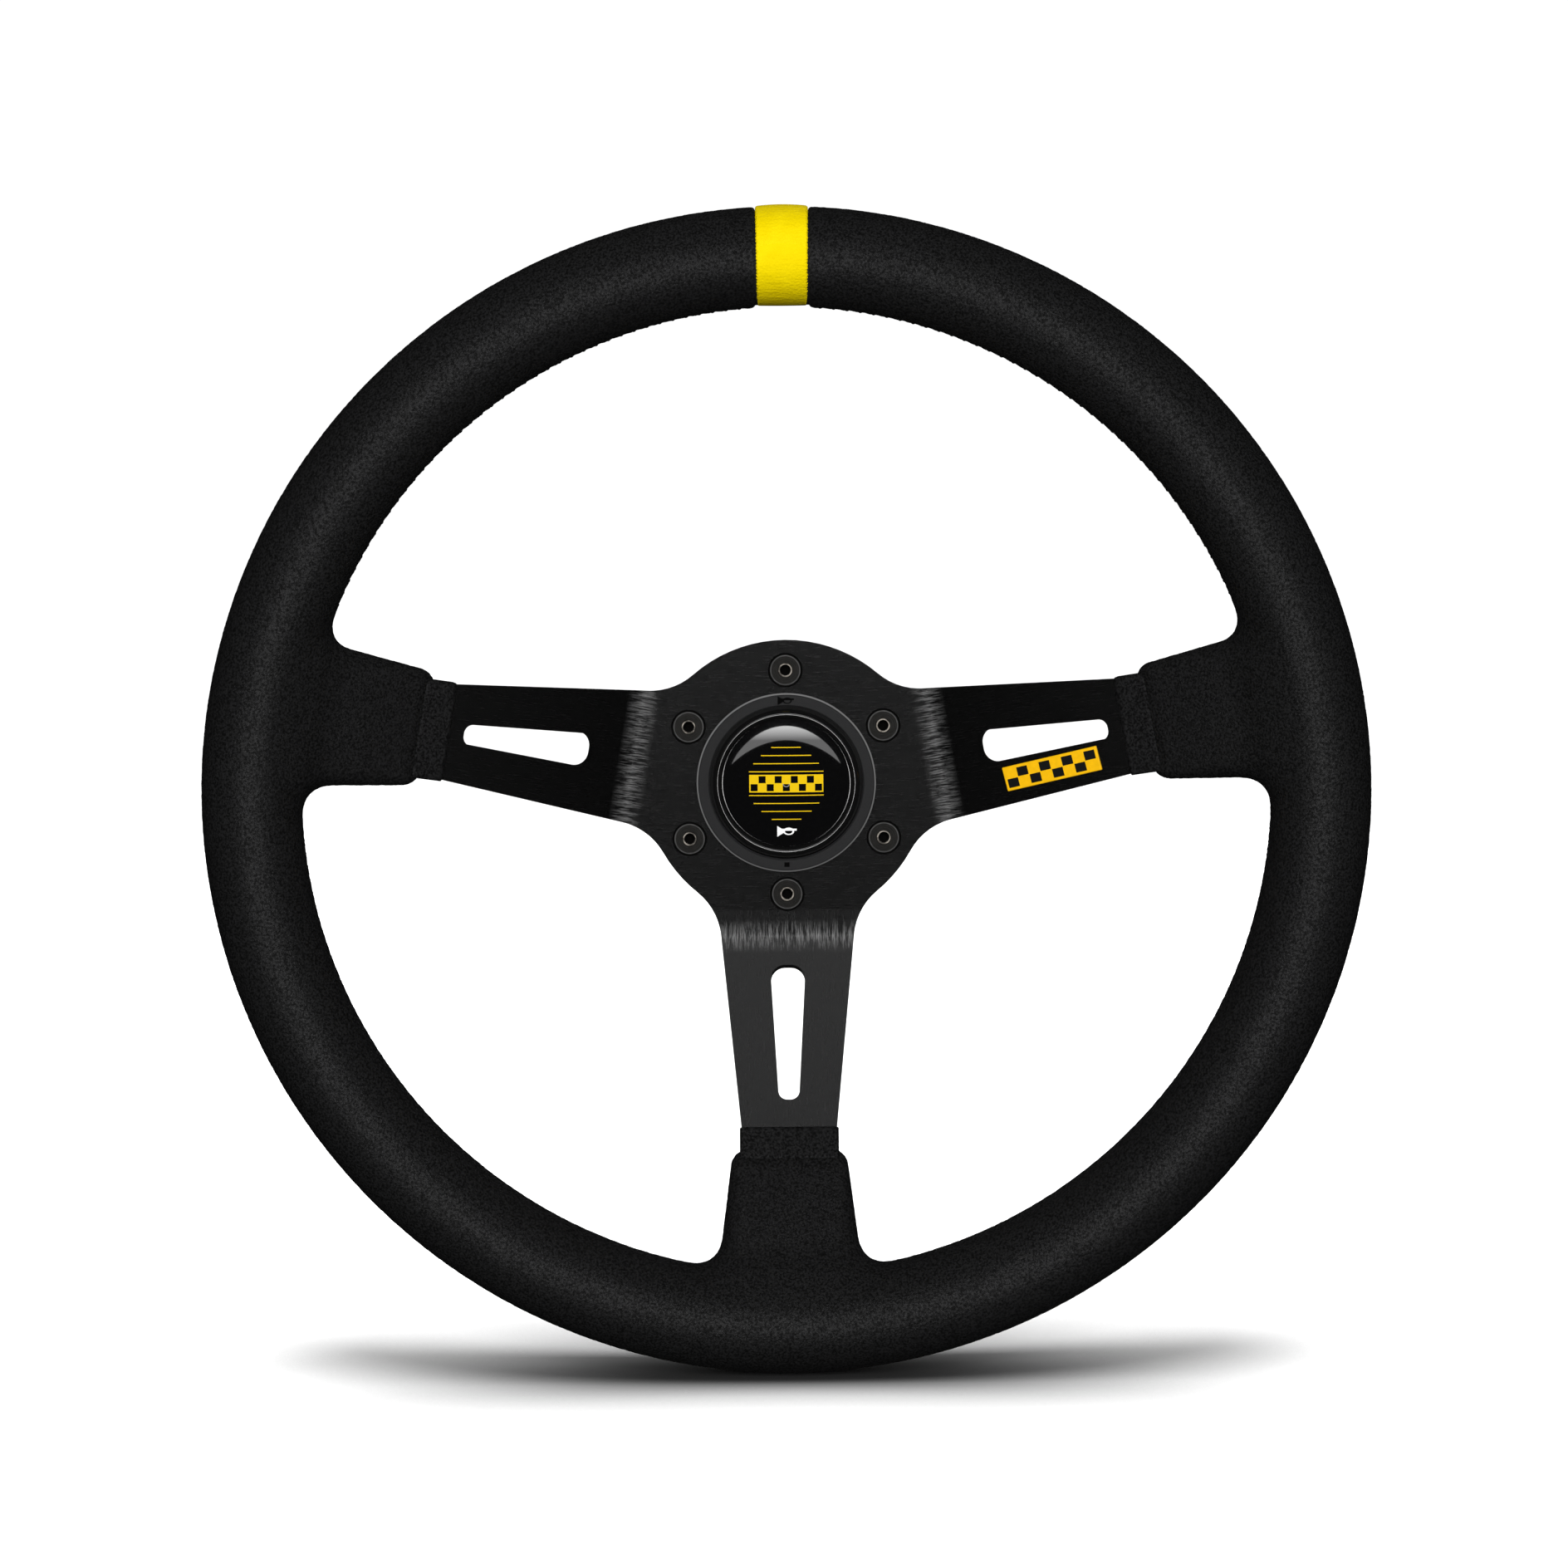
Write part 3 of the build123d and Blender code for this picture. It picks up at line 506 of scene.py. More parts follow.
def mark_bed():
    """The dark padding seen in the joints on both sides of the mark."""
    around = 120
    low, high = 1.7 * MM, 1.05 * MM
    half = MARK_HALF + 2.5 * MM
    rings = []
    for i in range(around):
        turn = 2 * math.pi * i / around
        ring = []
        for x, sink in ((-half, low), (-half, high), (half, high), (half, low)):
            out = RIM_RADIUS + (HALF_WIDTH - sink) * math.cos(turn)
            depth = (HALF_DEPTH - sink) * math.sin(turn)
            ring.append((x, RIM_Y - depth, math.sqrt(out * out - x * x)))
        rings.append(ring)
    return loft(rings, closed=True)


def seam_spot(turn, depth, lift):
    """A point on the inside of the rim, raised from the cover's surface."""
    across = -HALF_WIDTH * math.sqrt(1 - (depth / HALF_DEPTH) ** 2) - lift
    out = RIM_RADIUS + across
    return (out * math.cos(turn), RIM_Y - depth, out * math.sin(turn))


def seam_stitches():
    """Short slanting stitches on both sides of the seam, in the runs between the spokes."""
    ordered = sorted(SPOKE_ANGLES)
    ends = ordered[1:] + [ordered[0] + 2 * math.pi]
    pitch = STITCH_PITCH / RIM_RADIUS_INNER
    steps = 8
    paths = []
    for start, end in zip(ordered, ends):
        first = math.ceil((start + SEAM_MARGIN) / pitch)
        last = math.floor((end - SEAM_MARGIN) / pitch)
        for i in range(first, last + 1):
            beside = abs(seam_spot(i * pitch, 0, 0)[0])
            if beside < MARK_HALF + MARK_CLEAR and math.sin(i * pitch) > 0:
                continue
            for side in (-1, 1):
                path = []
                for k in range(steps + 1):
                    share = k / steps
                    depth = side * share * (STITCH_REACH + 0.15 * MM)
                    lift = STITCH_LOW + STITCH_RISE * math.sin(math.pi * share)
                    turn = (i + STITCH_SLANT * (1 - share)) * pitch
                    path.append(seam_spot(turn, depth, lift))
                paths.append(path)
    return tubes(paths, THREAD_RADIUS)


def bevelled_tile(middle, half, low, high, bevel, spot):
    """A low block with bevelled upper edges. Spot turns (u, v, height) into a place in the frame."""
    rings = []
    levels = ((low, 0.0), (high - bevel, 0.0), (high - bevel * 0.3, bevel * 0.3), (high, bevel))
    for height, inset in levels:
        outline = rounded_outline(half[0] - inset, half[1] - inset, 0.5 * bevel + 0.1 * MM, per_corner=3)
        rings.append([spot(middle[0] + u, middle[1] + v, height) for u, v in outline])
    return loft(rings)


def badge_spot(u, v, height):
    """A place on the badge, along it, across it and above the spoke's front face, in the frame."""
    turn = math.radians(BADGE_TILT)
    along = u * math.cos(turn) - v * math.sin(turn)
    across = u * math.sin(turn) + v * math.cos(turn)
    level = PLATE / 2 + height
    start = BADGE_ALONG + PLATE / 2 * math.sin(SLOPE)
    return on_spoke(SPOKE_ANGLES[0], start + along * math.cos(SLOPE), BADGE_ACROSS + across, level)


def badge_plate():
    """The badge's body, which the black squares stand just proud of."""
    half = (BADGE_LENGTH / 2, BADGE_WIDTH / 2)
    return bevelled_tile((0, 0), half, 0.0, BADGE_HEIGHT - 0.08 * MM, 0.3 * MM, badge_spot)


def badge_checks():
    """Two rows of black squares on the badge, every other one left out."""
    columns, rows = 8, 2
    border, joint, sunk, bevel = 1.6 * MM, 0.1 * MM, 0.3 * MM, 0.06 * MM
    wide, tall = (BADGE_LENGTH - border) / columns, (BADGE_WIDTH - border) / rows
    tiles = []
    for i in range(columns):
        for j in range(rows):
            if (i + j) % 2:
                continue
            middle = ((i - (columns - 1) / 2) * wide, (j - (rows - 1) / 2) * tall)
            half = (wide / 2 - joint, tall / 2 - joint)
            tiles.append(bevelled_tile(middle, half, BADGE_HEIGHT - sunk, BADGE_HEIGHT, bevel, badge_spot))
    return join_meshes(tiles)


# Materials


class Nodes:
    """A material's node tree, with short calls for the nodes that the materials use."""

    def __init__(self, name):
        self.material = bpy.data.materials.new(name)
        self.material.use_nodes = True
        self.tree = self.material.node_tree
        self.shader = self.tree.nodes["Principled BSDF"]
        self.place = self.add("ShaderNodeTexCoord").outputs["Object"]

    def add(self, kind, **settings):
        node = self.tree.nodes.new(kind)
        for key, value in settings.items():
            setattr(node, key, value)
        return node

    def feed(self, socket, value):
        if isinstance(value, bpy.types.NodeSocket):
            self.tree.links.new(value, socket)
        else:
            socket.default_value = value

    def math(self, operation, a, b=0.0, clamp=False):
        node = self.add("ShaderNodeMath", operation=operation, use_clamp=clamp)
        self.feed(node.inputs[0], a)
        self.feed(node.inputs[1], b)
        return node.outputs[0]

    def scaled(self, scale, turn=(0, 0, 0), vector=None):
        node = self.add("ShaderNodeMapping")
        self.feed(node.inputs["Vector"], vector or self.place)
        node.inputs["Scale"].default_value = scale
        node.inputs["Rotation"].default_value = turn
        return node.outputs["Vector"]

    def noise(self, scale, detail=2.0, rough=0.5, vector=None):
        node = self.add("ShaderNodeTexNoise")
        self.feed(node.inputs["Vector"], vector or self.place)
        node.inputs["Scale"].default_value = scale
        node.inputs["Detail"].default_value = detail
        node.inputs["Roughness"].default_value = rough
        return node.outputs["Fac"]

    def cells(self, scale):
        node = self.add("ShaderNodeTexVoronoi")
        self.feed(node.inputs["Vector"], self.place)
        node.inputs["Scale"].default_value = scale
        return node.outputs["Distance"]

    def ramp(self, value, stops):
        """A colour, or a grey given as one number, for each value."""
        node = self.add("ShaderNodeValToRGB")
        self.feed(node.inputs["Fac"], value)
        elements = node.color_ramp.elements
        while len(elements) < len(stops):
            elements.new(0.5)
        for element, (spot, colour) in zip(elements, stops):
            element.position = spot
            rgb = colour if isinstance(colour, tuple) else (colour,) * 3
            element.color = (*rgb, 1)
        return node.outputs["Color"]

    def mix(self, factor, a, b):
        node = self.add("ShaderNodeMix", data_type="RGBA")
        self.feed(node.inputs["Factor"], factor)
        for socket, value in (("A", a), ("B", b)):
            target = [s for s in node.inputs if s.name == socket and s.type == "RGBA"][0]
            self.feed(target, value)
        return [s for s in node.outputs if s.type == "RGBA"][0]

    def blend(self, factor, a, b):
        node = self.add("ShaderNodeMix", data_type="FLOAT")
        for socket, value in (("Factor", factor), ("A", a), ("B", b)):
            self.feed(node.inputs[socket], value)
        return node.outputs["Result"]

    def split(self):
        """The place's x, y and z, in metres."""
        node = self.add("ShaderNodeSeparateXYZ")
        self.feed(node.inputs[0], self.place)
        return tuple(node.outputs)

    def wheel_axes(self):
        """The place across and up the wheel from the steering axis, in millimetres."""
        x, _, z = self.split()
        return self.math("DIVIDE", x, MM), self.math("DIVIDE", z, MM)

    def between(self, value, low, high):
        """1 where a value is inside a span, 0 elsewhere."""
        middle, half = (low + high) / 2, (high - low) / 2
        off = self.math("ABSOLUTE", self.math("SUBTRACT", value, middle))
        return self.math("LESS_THAN", off, half)

    def either(self, *masks):
        result = masks[0]
        for mask in masks[1:]:
            result = self.math("MAXIMUM", result, mask)
        return result

    def both(self, *masks):
        result = masks[0]
        for mask in masks[1:]:
            result = self.math("MULTIPLY", result, mask)
        return result

    def length(self, a, b):
        return self.math("SQRT", self.math("ADD", self.math("MULTIPLY", a, a), self.math("MULTIPLY", b, b)))

    def dull(self, mask, rough):
        """Roughness that is full where the mask is."""
        return self.math("MAXIMUM", mask, rough)

    def bump(self, height, distance, strength=1.0, under=None):
        node = self.add("ShaderNodeBump")
        self.feed(node.inputs["Strength"], strength)
        node.inputs["Distance"].default_value = distance
        self.feed(node.inputs["Height"], height)
        if under is not None:
            self.feed(node.inputs["Normal"], under)
        return node.outputs["Normal"]

    def finish(self, **sockets):
        names = {
            "colour": "Base Color", "rough": "Roughness", "metal": "Metallic", "normal": "Normal",
            "coat": "Coat Weight", "coat_rough": "Coat Roughness", "specular": "Specular IOR Level",
        }
        for key, value in sockets.items():
            self.feed(self.shader.inputs[names[key]], value)
        return self.material


def suede(name, specular):
    """Short black nap: speckle in its colour, roughness and height."""
    m = Nodes(name)
    speckle = m.noise(1500, 1.5, 0.6)
    colour = m.ramp(speckle, [(0.38, (0.0025, 0.0025, 0.0025)), (0.62, (0.0108, 0.0108, 0.0111))])
    rough = m.ramp(speckle, [(0.38, 0.56), (0.62, 0.35)])
    normal = m.bump(m.noise(900, 3.0, 0.75), 0.35 * MM, 0.8)
    return m.finish(colour=colour, rough=rough, specular=specular, normal=normal)


def yellow_leather():
    """Dyed leather: small pebbles, with creases that run across the strip."""
    m = Nodes("yellow_leather")
    grain = m.cells(1300)
    tone = m.noise(140, 3.0, 0.6)
    colour = m.ramp(tone, [(0.3, (0.66, 0.50, 0.0005)), (0.7, (0.72, 0.56, 0.002))])
    creases = m.noise(900, 2.0, 0.6, vector=m.scaled((0.12, 1.0, 1.0)))
    normal = m.bump(grain, 0.15 * MM, 0.6)
    normal = m.bump(creases, 0.35 * MM, 0.5, under=normal)
    return m.finish(colour=colour, rough=0.55, specular=0.12, normal=normal)


def thread(name, colour):
    """Waxed thread, with shade painted darker between its twists."""
    m = Nodes(name)
    twist = m.noise(2500, 1.0, 0.5)
    dark = tuple(c * 0.6 for c in colour)
    # Painted shade: darker where the twist's bump is low.
    tone = m.mix(twist, (*dark, 1), (*colour, 1))
    return m.finish(colour=tone, rough=0.6, normal=m.bump(twist, 0.1 * MM, 0.5))


def along_spoke(m, angle):
    """Distance from the steering axis along a spoke, in metres."""
    x, _, z = m.split()
    return m.math("ADD", m.math("MULTIPLY", x, math.cos(angle)), m.math("MULTIPLY", z, math.sin(angle)))


def from_bolt(m, x, z):
    """Distance from the nearest of the six wheel bolts, in millimetres."""
    radius = m.length(x, z)
    turn = m.math("ARCTAN2", z, x)
    sixth = math.pi / 3
    turn = m.math("SUBTRACT", m.math("FLOORED_MODULO", turn, sixth), sixth / 2)
    across = m.math("SUBTRACT", m.math("MULTIPLY", radius, m.math("COSINE", turn)), BOLT_CIRCLE / 2 / MM)
    return m.length(across, m.math("MULTIPLY", radius, m.math("SINE", turn)))


def brushed_black():
    """Black anodised plate: brushed across on the hub, along each bend, smooth on the spokes, with a highlight
    painted along each bend and shade painted in the gap round each bolt.
    """
    m = Nodes("brushed_black")
    streak = (1.0, 1.0, 13.0)  # how much finer the lines are across their length
    own_lines = 40 * MM  # from where a spoke is brushed along its own length
    bend_half, fade = 5.0 * MM, 6.0 * MM
    lines = m.noise(190, 4.0, 0.7, vector=m.scaled(streak))
    bend = beyond = 0.0
    for angle in SPOKE_ANGLES:
        along = along_spoke(m, angle)
        turned = m.scaled((1, 1, 1), turn=(0, angle, 0))
        spoke_lines = m.noise(190, 4.0, 0.7, vector=m.scaled(streak, vector=turned))
        lines = m.blend(m.math("GREATER_THAN", along, own_lines), lines, spoke_lines)
        off = m.math("ABSOLUTE", m.math("SUBTRACT", along, BEND_AT))
        band = m.math("SUBTRACT", 1.0, m.math("DIVIDE", off, bend_half), clamp=True)
        bend = m.math("MAXIMUM", bend, band)
        spoke = m.math("DIVIDE", m.math("SUBTRACT", along, BEND_AT), fade, clamp=True)
        beyond = m.math("MAXIMUM", beyond, spoke)
    # Painted highlight: a light band with brush streaks along each bend, where the bent plate catches the
    # lights.
    highlight_band = m.math("MULTIPLY", bend, m.ramp(lines, [(0.44, 0.0), (0.60, 1.0)]), clamp=True)
    plain = m.ramp(lines, [(0.42, 0.0003), (0.60, 0.0022)])
    colour = m.mix(beyond, plain, (0.0007, 0.0007, 0.0007, 1))
    colour = m.mix(highlight_band, colour, (0.10, 0.10, 0.10, 1))
    x, z = m.wheel_axes()
    gap = m.between(from_bolt(m, x, z), 4.9, 5.4)  # between the head and its countersink
    # Painted shade: the gap between each bolt head and its countersink, painted near black and dull.
    colour = m.mix(gap, colour, (0.0002, 0.0002, 0.0002, 1))
    rough = m.math("ADD", 0.20, m.math("MULTIPLY", lines, 0.12))
    strength = m.math("SUBTRACT", 0.40, m.math("MULTIPLY", beyond, 0.36))
    normal = m.bump(lines, 0.2 * MM, strength)
    return m.finish(colour=colour, rough=m.dull(gap, rough), specular=0.8, normal=normal)


def horn_sign(m, x, z, centre, size):
    """A mask of the usual sign for a horn, a bell with a looped tube, about the given height."""
    across = m.math("DIVIDE", m.math("SUBTRACT", x, centre[0]), size)
    up = m.math("DIVIDE", m.math("SUBTRACT", z, centre[1]), size)
    off = m.math("ABSOLUTE", up)
    flare = m.math("ADD", 0.12, m.math("MULTIPLY", m.math("SUBTRACT", -0.25, across), 0.62))
    bell = m.both(m.math("LESS_THAN", off, flare), m.between(across, -0.95, -0.25))
    pipe = m.both(m.between(up, 0.06, 0.26), m.between(across, -0.6, 1.0))
    out = m.length(m.math("DIVIDE", m.math("SUBTRACT", across, 0.2), 0.55), m.math("DIVIDE", up, 0.38))
    loop = m.between(out, 0.68, 1.0)
    return m.either(bell, pipe, loop)


def printed_dome():
    """The face of the button under its clear dome: a chequered band between rules, and the sign for a horn."""
    m = Nodes("printed_dome")
    x, z = m.wheel_axes()
    off, side = m.math("ABSOLUTE", z), m.math("ABSOLUTE", x)
    cell, rows, columns = 2.5, 2, 9
    column = m.math("DIVIDE", m.math("ADD", x, cell / 2), cell)
    row = m.math("DIVIDE", z, cell)
    parity = m.math("ADD", m.math("FLOOR", column), m.math("FLOOR", row))
    odd = m.math("GREATER_THAN", m.math("FLOORED_MODULO", parity, 2.0), 0.5)
    within = [m.between(m.math("FLOORED_MODULO", v, 1.0), 0.06, 0.94) for v in (column, row)]
    half_band = (rows * cell / 2, columns * cell / 2)
    field = m.both(m.math("LESS_THAN", off, half_band[0]), m.math("LESS_THAN", side, half_band[1]))
    frame_line = 0.25
    band = m.both(
        m.math("LESS_THAN", off, half_band[0] + frame_line),
        m.math("LESS_THAN", side, half_band[1] + frame_line),
    )
    yellow = m.both(band, m.math("SUBTRACT", 1.0, m.both(odd, *within, field)))
    half_rule = 0.14
    for height, reach in ((3.7, 11.6), (6.2, 10.2), (8.7, 7.8), (11.2, 4.6)):
        rule = m.both(m.between(off, height - half_rule, height + half_rule), m.math("LESS_THAN", side, reach))
        yellow = m.either(yellow, rule)
    sign = horn_sign(m, x, z, (0.0, -15.0), 3.1)
    speckle = m.noise(900, 2.0, 0.5)
    black = m.mix(speckle, (0.0012, 0.0012, 0.0013, 1), (0.0026, 0.0026, 0.0028, 1))
    colour = m.mix(yellow, black, (0.72, 0.47, 0.006, 1))
    colour = m.mix(sign, colour, (0.85, 0.85, 0.85, 1))
    rough = m.math("ADD", 0.03, m.math("MULTIPLY", speckle, 0.02))
    return m.finish(colour=colour, rough=rough, specular=0.5, coat=1.0, coat_rough=0.02)


def bolt_black():
    """Black oxide: the edge of the hexagonal recess lighter, partly wear and partly a painted highlight, a
    painted highlight inside the head's rim, and shade painted near black in the recess and round the head.
    """
    m = Nodes("black_oxide")
    recess_radius, head_radius = 1.72, 4.72
    out = from_bolt(m, *m.wheel_axes())
    highlight_band = m.between(out, recess_radius, 2.15)
    edge = m.math("GREATER_THAN", out, head_radius)
    recess = m.math("LESS_THAN", out, recess_radius)
    blotch = m.noise(600, 3.0, 0.6)
    colour = m.mix(blotch, (0.006, 0.006, 0.005, 1), (0.016, 0.015, 0.014, 1))
    # A light ring round the edge of the recess, partly wear and partly a painted highlight.
    colour = m.mix(m.both(highlight_band, m.ramp(blotch, [(0.4, 0.2), (0.6, 1.0)])), colour, (0.34, 0.31, 0.27, 1))
    # Painted shade: the hexagonal recess and the gap round the head, painted near black, dull and not
    # metallic.
    painted_shade = m.either(edge, recess)
    # Painted highlight: an uneven lighter ring just inside the head's rim.
    colour = m.mix(m.both(m.between(out, 4.35, head_radius), blotch), colour, (0.10, 0.10, 0.10, 1))
    colour = m.mix(painted_shade, colour, (0.0008, 0.0007, 0.0006, 1))
    rings = m.math("SINE", m.math("MULTIPLY", out, 9.0))
    normal = m.bump(rings, 0.03 * MM, 0.4)
    metal = m.math("MULTIPLY", m.math("SUBTRACT", 1.0, painted_shade), 0.36)
    return m.finish(colour=colour, rough=m.dull(painted_shade, 0.38), metal=metal, specular=0.6, normal=normal)


def ring_black():
    """The horn ring: matt black, a highlight painted along its outer edge, a sign pressed in its top and a dot
    below, with shade painted near black in both.
    """
    m = Nodes("horn_ring_black")
    x, z = m.wheel_axes()
    radius = m.length(x, z)
    edge_highlight = m.math("GREATER_THAN", radius, 27.45)
    middle = (23.8 + 27.4) / 2
    sign = horn_sign(m, x, z, (0.0, middle), 2.6)
    dot = m.both(m.between(x, -0.8, 0.8), m.between(z, -middle - 0.7, -middle + 0.7))
    pressed = m.either(sign, dot)
    grain = m.noise(1600, 3.0, 0.6)
    colour = m.mix(grain, (0.008, 0.008, 0.0085, 1), (0.017, 0.017, 0.0175, 1))
    # Painted highlight: a light line along the ring's outer edge.
    colour = m.mix(edge_highlight, colour, (0.16, 0.16, 0.16, 1))
    # Painted shade: the pressed sign and dot, painted near black and dull.
    colour = m.mix(pressed, colour, (0.001, 0.001, 0.001, 1))
    normal = m.bump(grain, 0.05 * MM, 0.35)
    normal = m.bump(m.math("SUBTRACT", 1.0, pressed), 0.6 * MM, 1.0, under=normal)
    return m.finish(colour=colour, rough=m.dull(pressed, 0.5), specular=0.5, normal=normal)


def satin_metal(name, colour, rough, metal=1.0):
    """Turned or ground metal: fine rings round the steering axis and slightly uneven polish."""
    m = Nodes(name)
    x, y, z = m.split()
    join = m.add("ShaderNodeCombineXYZ")
    m.feed(join.inputs[0], m.length(x, z))
    m.feed(join.inputs[1], y)
    rings = m.noise(4000, 2.0, 0.6, vector=join.outputs[0])
    blotch = m.noise(125, 3.0, 0.6)
    dark = tuple(c * 0.7 for c in colour)
    tint = m.mix(blotch, (*dark, 1), (*colour, 1))
    polish = m.math("ADD", rough, m.math("MULTIPLY", m.math("SUBTRACT", rings, 0.5), 0.18))
    normal = m.bump(rings, 0.02 * MM, 0.35)
    return m.finish(colour=tint, rough=polish, metal=metal, specular=0.5, normal=normal)


def moulded(name, colour, rough, grain=1500.0, depth=0.03, coat=0.0):
    """Moulded plastic or rubber: a fine grain, its depth in millimetres, and a few smudges."""
    m = Nodes(name)
    texture = m.noise(grain, 2.0, 0.5)
    light = tuple(c * 1.3 for c in colour)
    smudge = m.noise(90, 3.0, 0.6)
    polish = m.math("ADD", rough, m.math("MULTIPLY", smudge, 0.06))
    return m.finish(
        colour=m.mix(texture, (*colour, 1), (*light, 1)), rough=polish, coat=coat, coat_rough=0.05,
        normal=m.bump(texture, depth * MM, 0.3),
    )


def give(piece, material):
    piece.data.materials.clear()
    piece.data.materials.append(material)


SUEDE = suede("suede", 0.5)
FLAT_SUEDE = suede("flat_suede", 0.12)  # pressed down where it is thin
YELLOW = yellow_leather()
BLACK_THREAD = thread("black_thread", (0.012, 0.012, 0.012))
PLATE_BLACK = brushed_black()
ANODISED = satin_metal("black_anodised", (0.022, 0.022, 0.024), 0.42, metal=0.0)
BOLT_BLACK = bolt_black()
RING_BLACK = ring_black()
DOME_PRINT = printed_dome()
STEEL = satin_metal("ground_steel", (0.50, 0.50, 0.52), 0.28)
ALUMINIUM = satin_metal("bright_aluminium", (0.74, 0.75, 0.77), 0.3)
SPRING = satin_metal("spring_steel", (0.30, 0.30, 0.31), 0.35)
BRASS = satin_metal("brass", (0.78, 0.57, 0.22), 0.3)
RUBBER = moulded("rubber", (0.012, 0.012, 0.012), 0.55)
PLASTIC = moulded("black_plastic", (0.02, 0.02, 0.02), 0.5)
GLOSS = moulded("gloss_black", (0.003, 0.003, 0.003), 0.08, grain=400.0, depth=0.002, coat=1.0)
RAISED_YELLOW = moulded("raised_yellow", (0.68, 0.37, 0.004), 0.28, grain=700.0, depth=0.02, coat=0.5)
BADGE_BLACK = moulded("badge_black", (0.006, 0.006, 0.006), 0.3)

CAD_LOOKS = {
    "spoke_frame": PLATE_BLACK,
    "rim_hoop": STEEL,
    "hoop_welds": STEEL,
    "wheel_bolts": BOLT_BLACK,
    "adapter": ANODISED,
    "socket_body": STEEL,
    "socket_bolts": BOLT_BLACK,
    "pilot_seal": RUBBER,
    "collar_stop_ring": SPRING,
    "release_collar": ALUMINIUM,
    "collar_spring": SPRING,
    "horn_ring": RING_BLACK,
    "horn_housing": PLASTIC,
    "horn_terminals": BRASS,
    "horn_contact_fixed": BRASS,
    "horn_contact_moving": BRASS,
    "horn_spring": SPRING,
    "horn_cap": GLOSS,
    "horn_dome": DOME_PRINT,
}
CAD_LOOKS.update({f"lock_ball_{i + 1}": STEEL for i in range(6)})
for node, look in CAD_LOOKS.items():
    give(frame["nodes"][node], look)


# The soft pieces

whole_grip = grip_surface()
cover_left = cover_half(whole_grip, "suede_cover_left", -1)
cover_right = cover_half(whole_grip, "suede_cover_right", 1)
whole_grip.free()
give(cover_left, SUEDE)
give(cover_right, SUEDE)


def add_piece(name, shape, material, body="wheel", smooth=True):
    piece = new_object(name, mesh_from(name, *shape, smooth=smooth))
    give(piece, material)
    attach(piece, body)
    return piece


for piece in (cover_left, cover_right):
    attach(piece, "wheel")
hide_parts("grip_cover_left", "grip_foam")
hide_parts("grip_cover_right")

nap = [cover_left, cover_right]  # what is covered in suede
for spoke, angle in zip(("right", "left", "lower"), SPOKE_ANGLES):
    nap.append(add_piece(f"sleeve_{spoke}", sleeve(angle), FLAT_SUEDE))

mark = add_piece("yellow_mark", centre_mark(), YELLOW)
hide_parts("centre_mark")
bed = add_piece("mark_bed", mark_bed(), RUBBER)
stitches = add_piece("seam_stitches", seam_stitches(), BLACK_THREAD)
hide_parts("seam_thread")
badge = add_piece("badge_plate", badge_plate(), RAISED_YELLOW, smooth=False)
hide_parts("spoke_badge")
add_piece("badge_checks", badge_checks(), BADGE_BLACK, smooth=False)


# The springs, each a copy of its piece carried by its joint's parent

springs = []
for joint in frame["record"]["behaviour"]["joints"]:
    for entry in joint.get("deforming_nodes", []):
        node = entry["node"]
        spring = new_object(f"{node}_coils", frame["nodes"][node].data.copy())
        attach(spring, joint["parent"])
        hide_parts(node)
        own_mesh(spring)
        springs.append(spring)


# Studio and camera

VIEW_DISTANCE = 1.070  # from the rim's plane, level
VIEW_HEIGHT = 92.1 * MM  # above the steering axis
VIEW_SIDE = -0.5 * MM
VIEW_TILT = math.radians(3.5)
VIEW_ROLL = math.radians(-0.5)
VIEW_SHIFT = -0.05
VIEW_LENS = 82.3
HUB = Vector((0, RIM_Y + HUB_MIDDLE, 0))


def collection_of(name, pieces):
    group = bpy.data.collections.new(name)
    for piece in pieces:
        group.objects.link(piece)
    return group


def light_only(lamp, name, pieces):
    """Limits a light to some objects."""
    lamp.light_linking.receiver_collection = collection_of(name, pieces)


def studio_floor():
    bm = bmesh.new()
    bmesh.ops.create_circle(bm, cap_ends=True, radius=9.0, segments=96)
    mesh = bpy.data.meshes.new("floor")
    bm.to_mesh(mesh)
    bm.free()
    floor = new_object("floor", mesh)
    floor.location = (0, RIM_Y, -RIM_OUTER - 0.1 * MM)
    floor.visible_diffuse = False
    floor.visible_glossy = False
    m = Nodes("floor_paper")
    tone = m.mix(m.noise(3.0, 1.0), (0.90, 0.90, 0.90, 1), (0.92, 0.92, 0.92, 1))
    # Painted shadow: the floor's colour darkens with ambient occlusion under and round the wheel, as its
    # contact shadow.
    contact = m.add("ShaderNodeAmbientOcclusion", samples=32)
    contact.inputs["Distance"].default_value = 90 * MM
    shade = m.math("POWER", contact.outputs["AO"], 3.5)
    give(floor, m.finish(colour=m.mix(shade, (0.03, 0.03, 0.03, 1), tone), rough=0.9, specular=0.0))
    sun = bpy.data.lights.new("floor_light", "SUN")
    sun.energy = 4.0
    sun.angle = math.radians(30)
    lamp = bpy.data.objects.new("floor_light", sun)
    lamp.rotation_euler = (math.radians(14), 0, 0)
    bpy.context.scene.collection.objects.link(lamp)
    light_only(lamp, "floor_only", [floor])


def towards(azimuth, elevation):
    """A direction from the wheel: azimuth 0 is the driver's side and 90 its right."""
    a, e = math.radians(azimuth), math.radians(elevation)
    return Vector((math.sin(a) * math.cos(e), -math.cos(a) * math.cos(e), math.sin(e)))


def soft_light(name, azimuth, elevation, distance, size, radiance, diffuse=True, glossy=True, target=HUB):
    data = bpy.data.lights.new(name, "AREA")
    data.shape = "RECTANGLE"
    data.size, data.size_y = size
    data.energy = radiance * math.pi * size[0] * size[1]
    lamp = bpy.data.objects.new(name, data)
    away = towards(azimuth, elevation)
    lamp.location = target + away * distance
    lamp.rotation_euler = away.to_track_quat("Z", "Y").to_euler()
    lamp.visible_diffuse = diffuse
    lamp.visible_glossy = glossy
    bpy.context.scene.collection.objects.link(lamp)
    return lamp


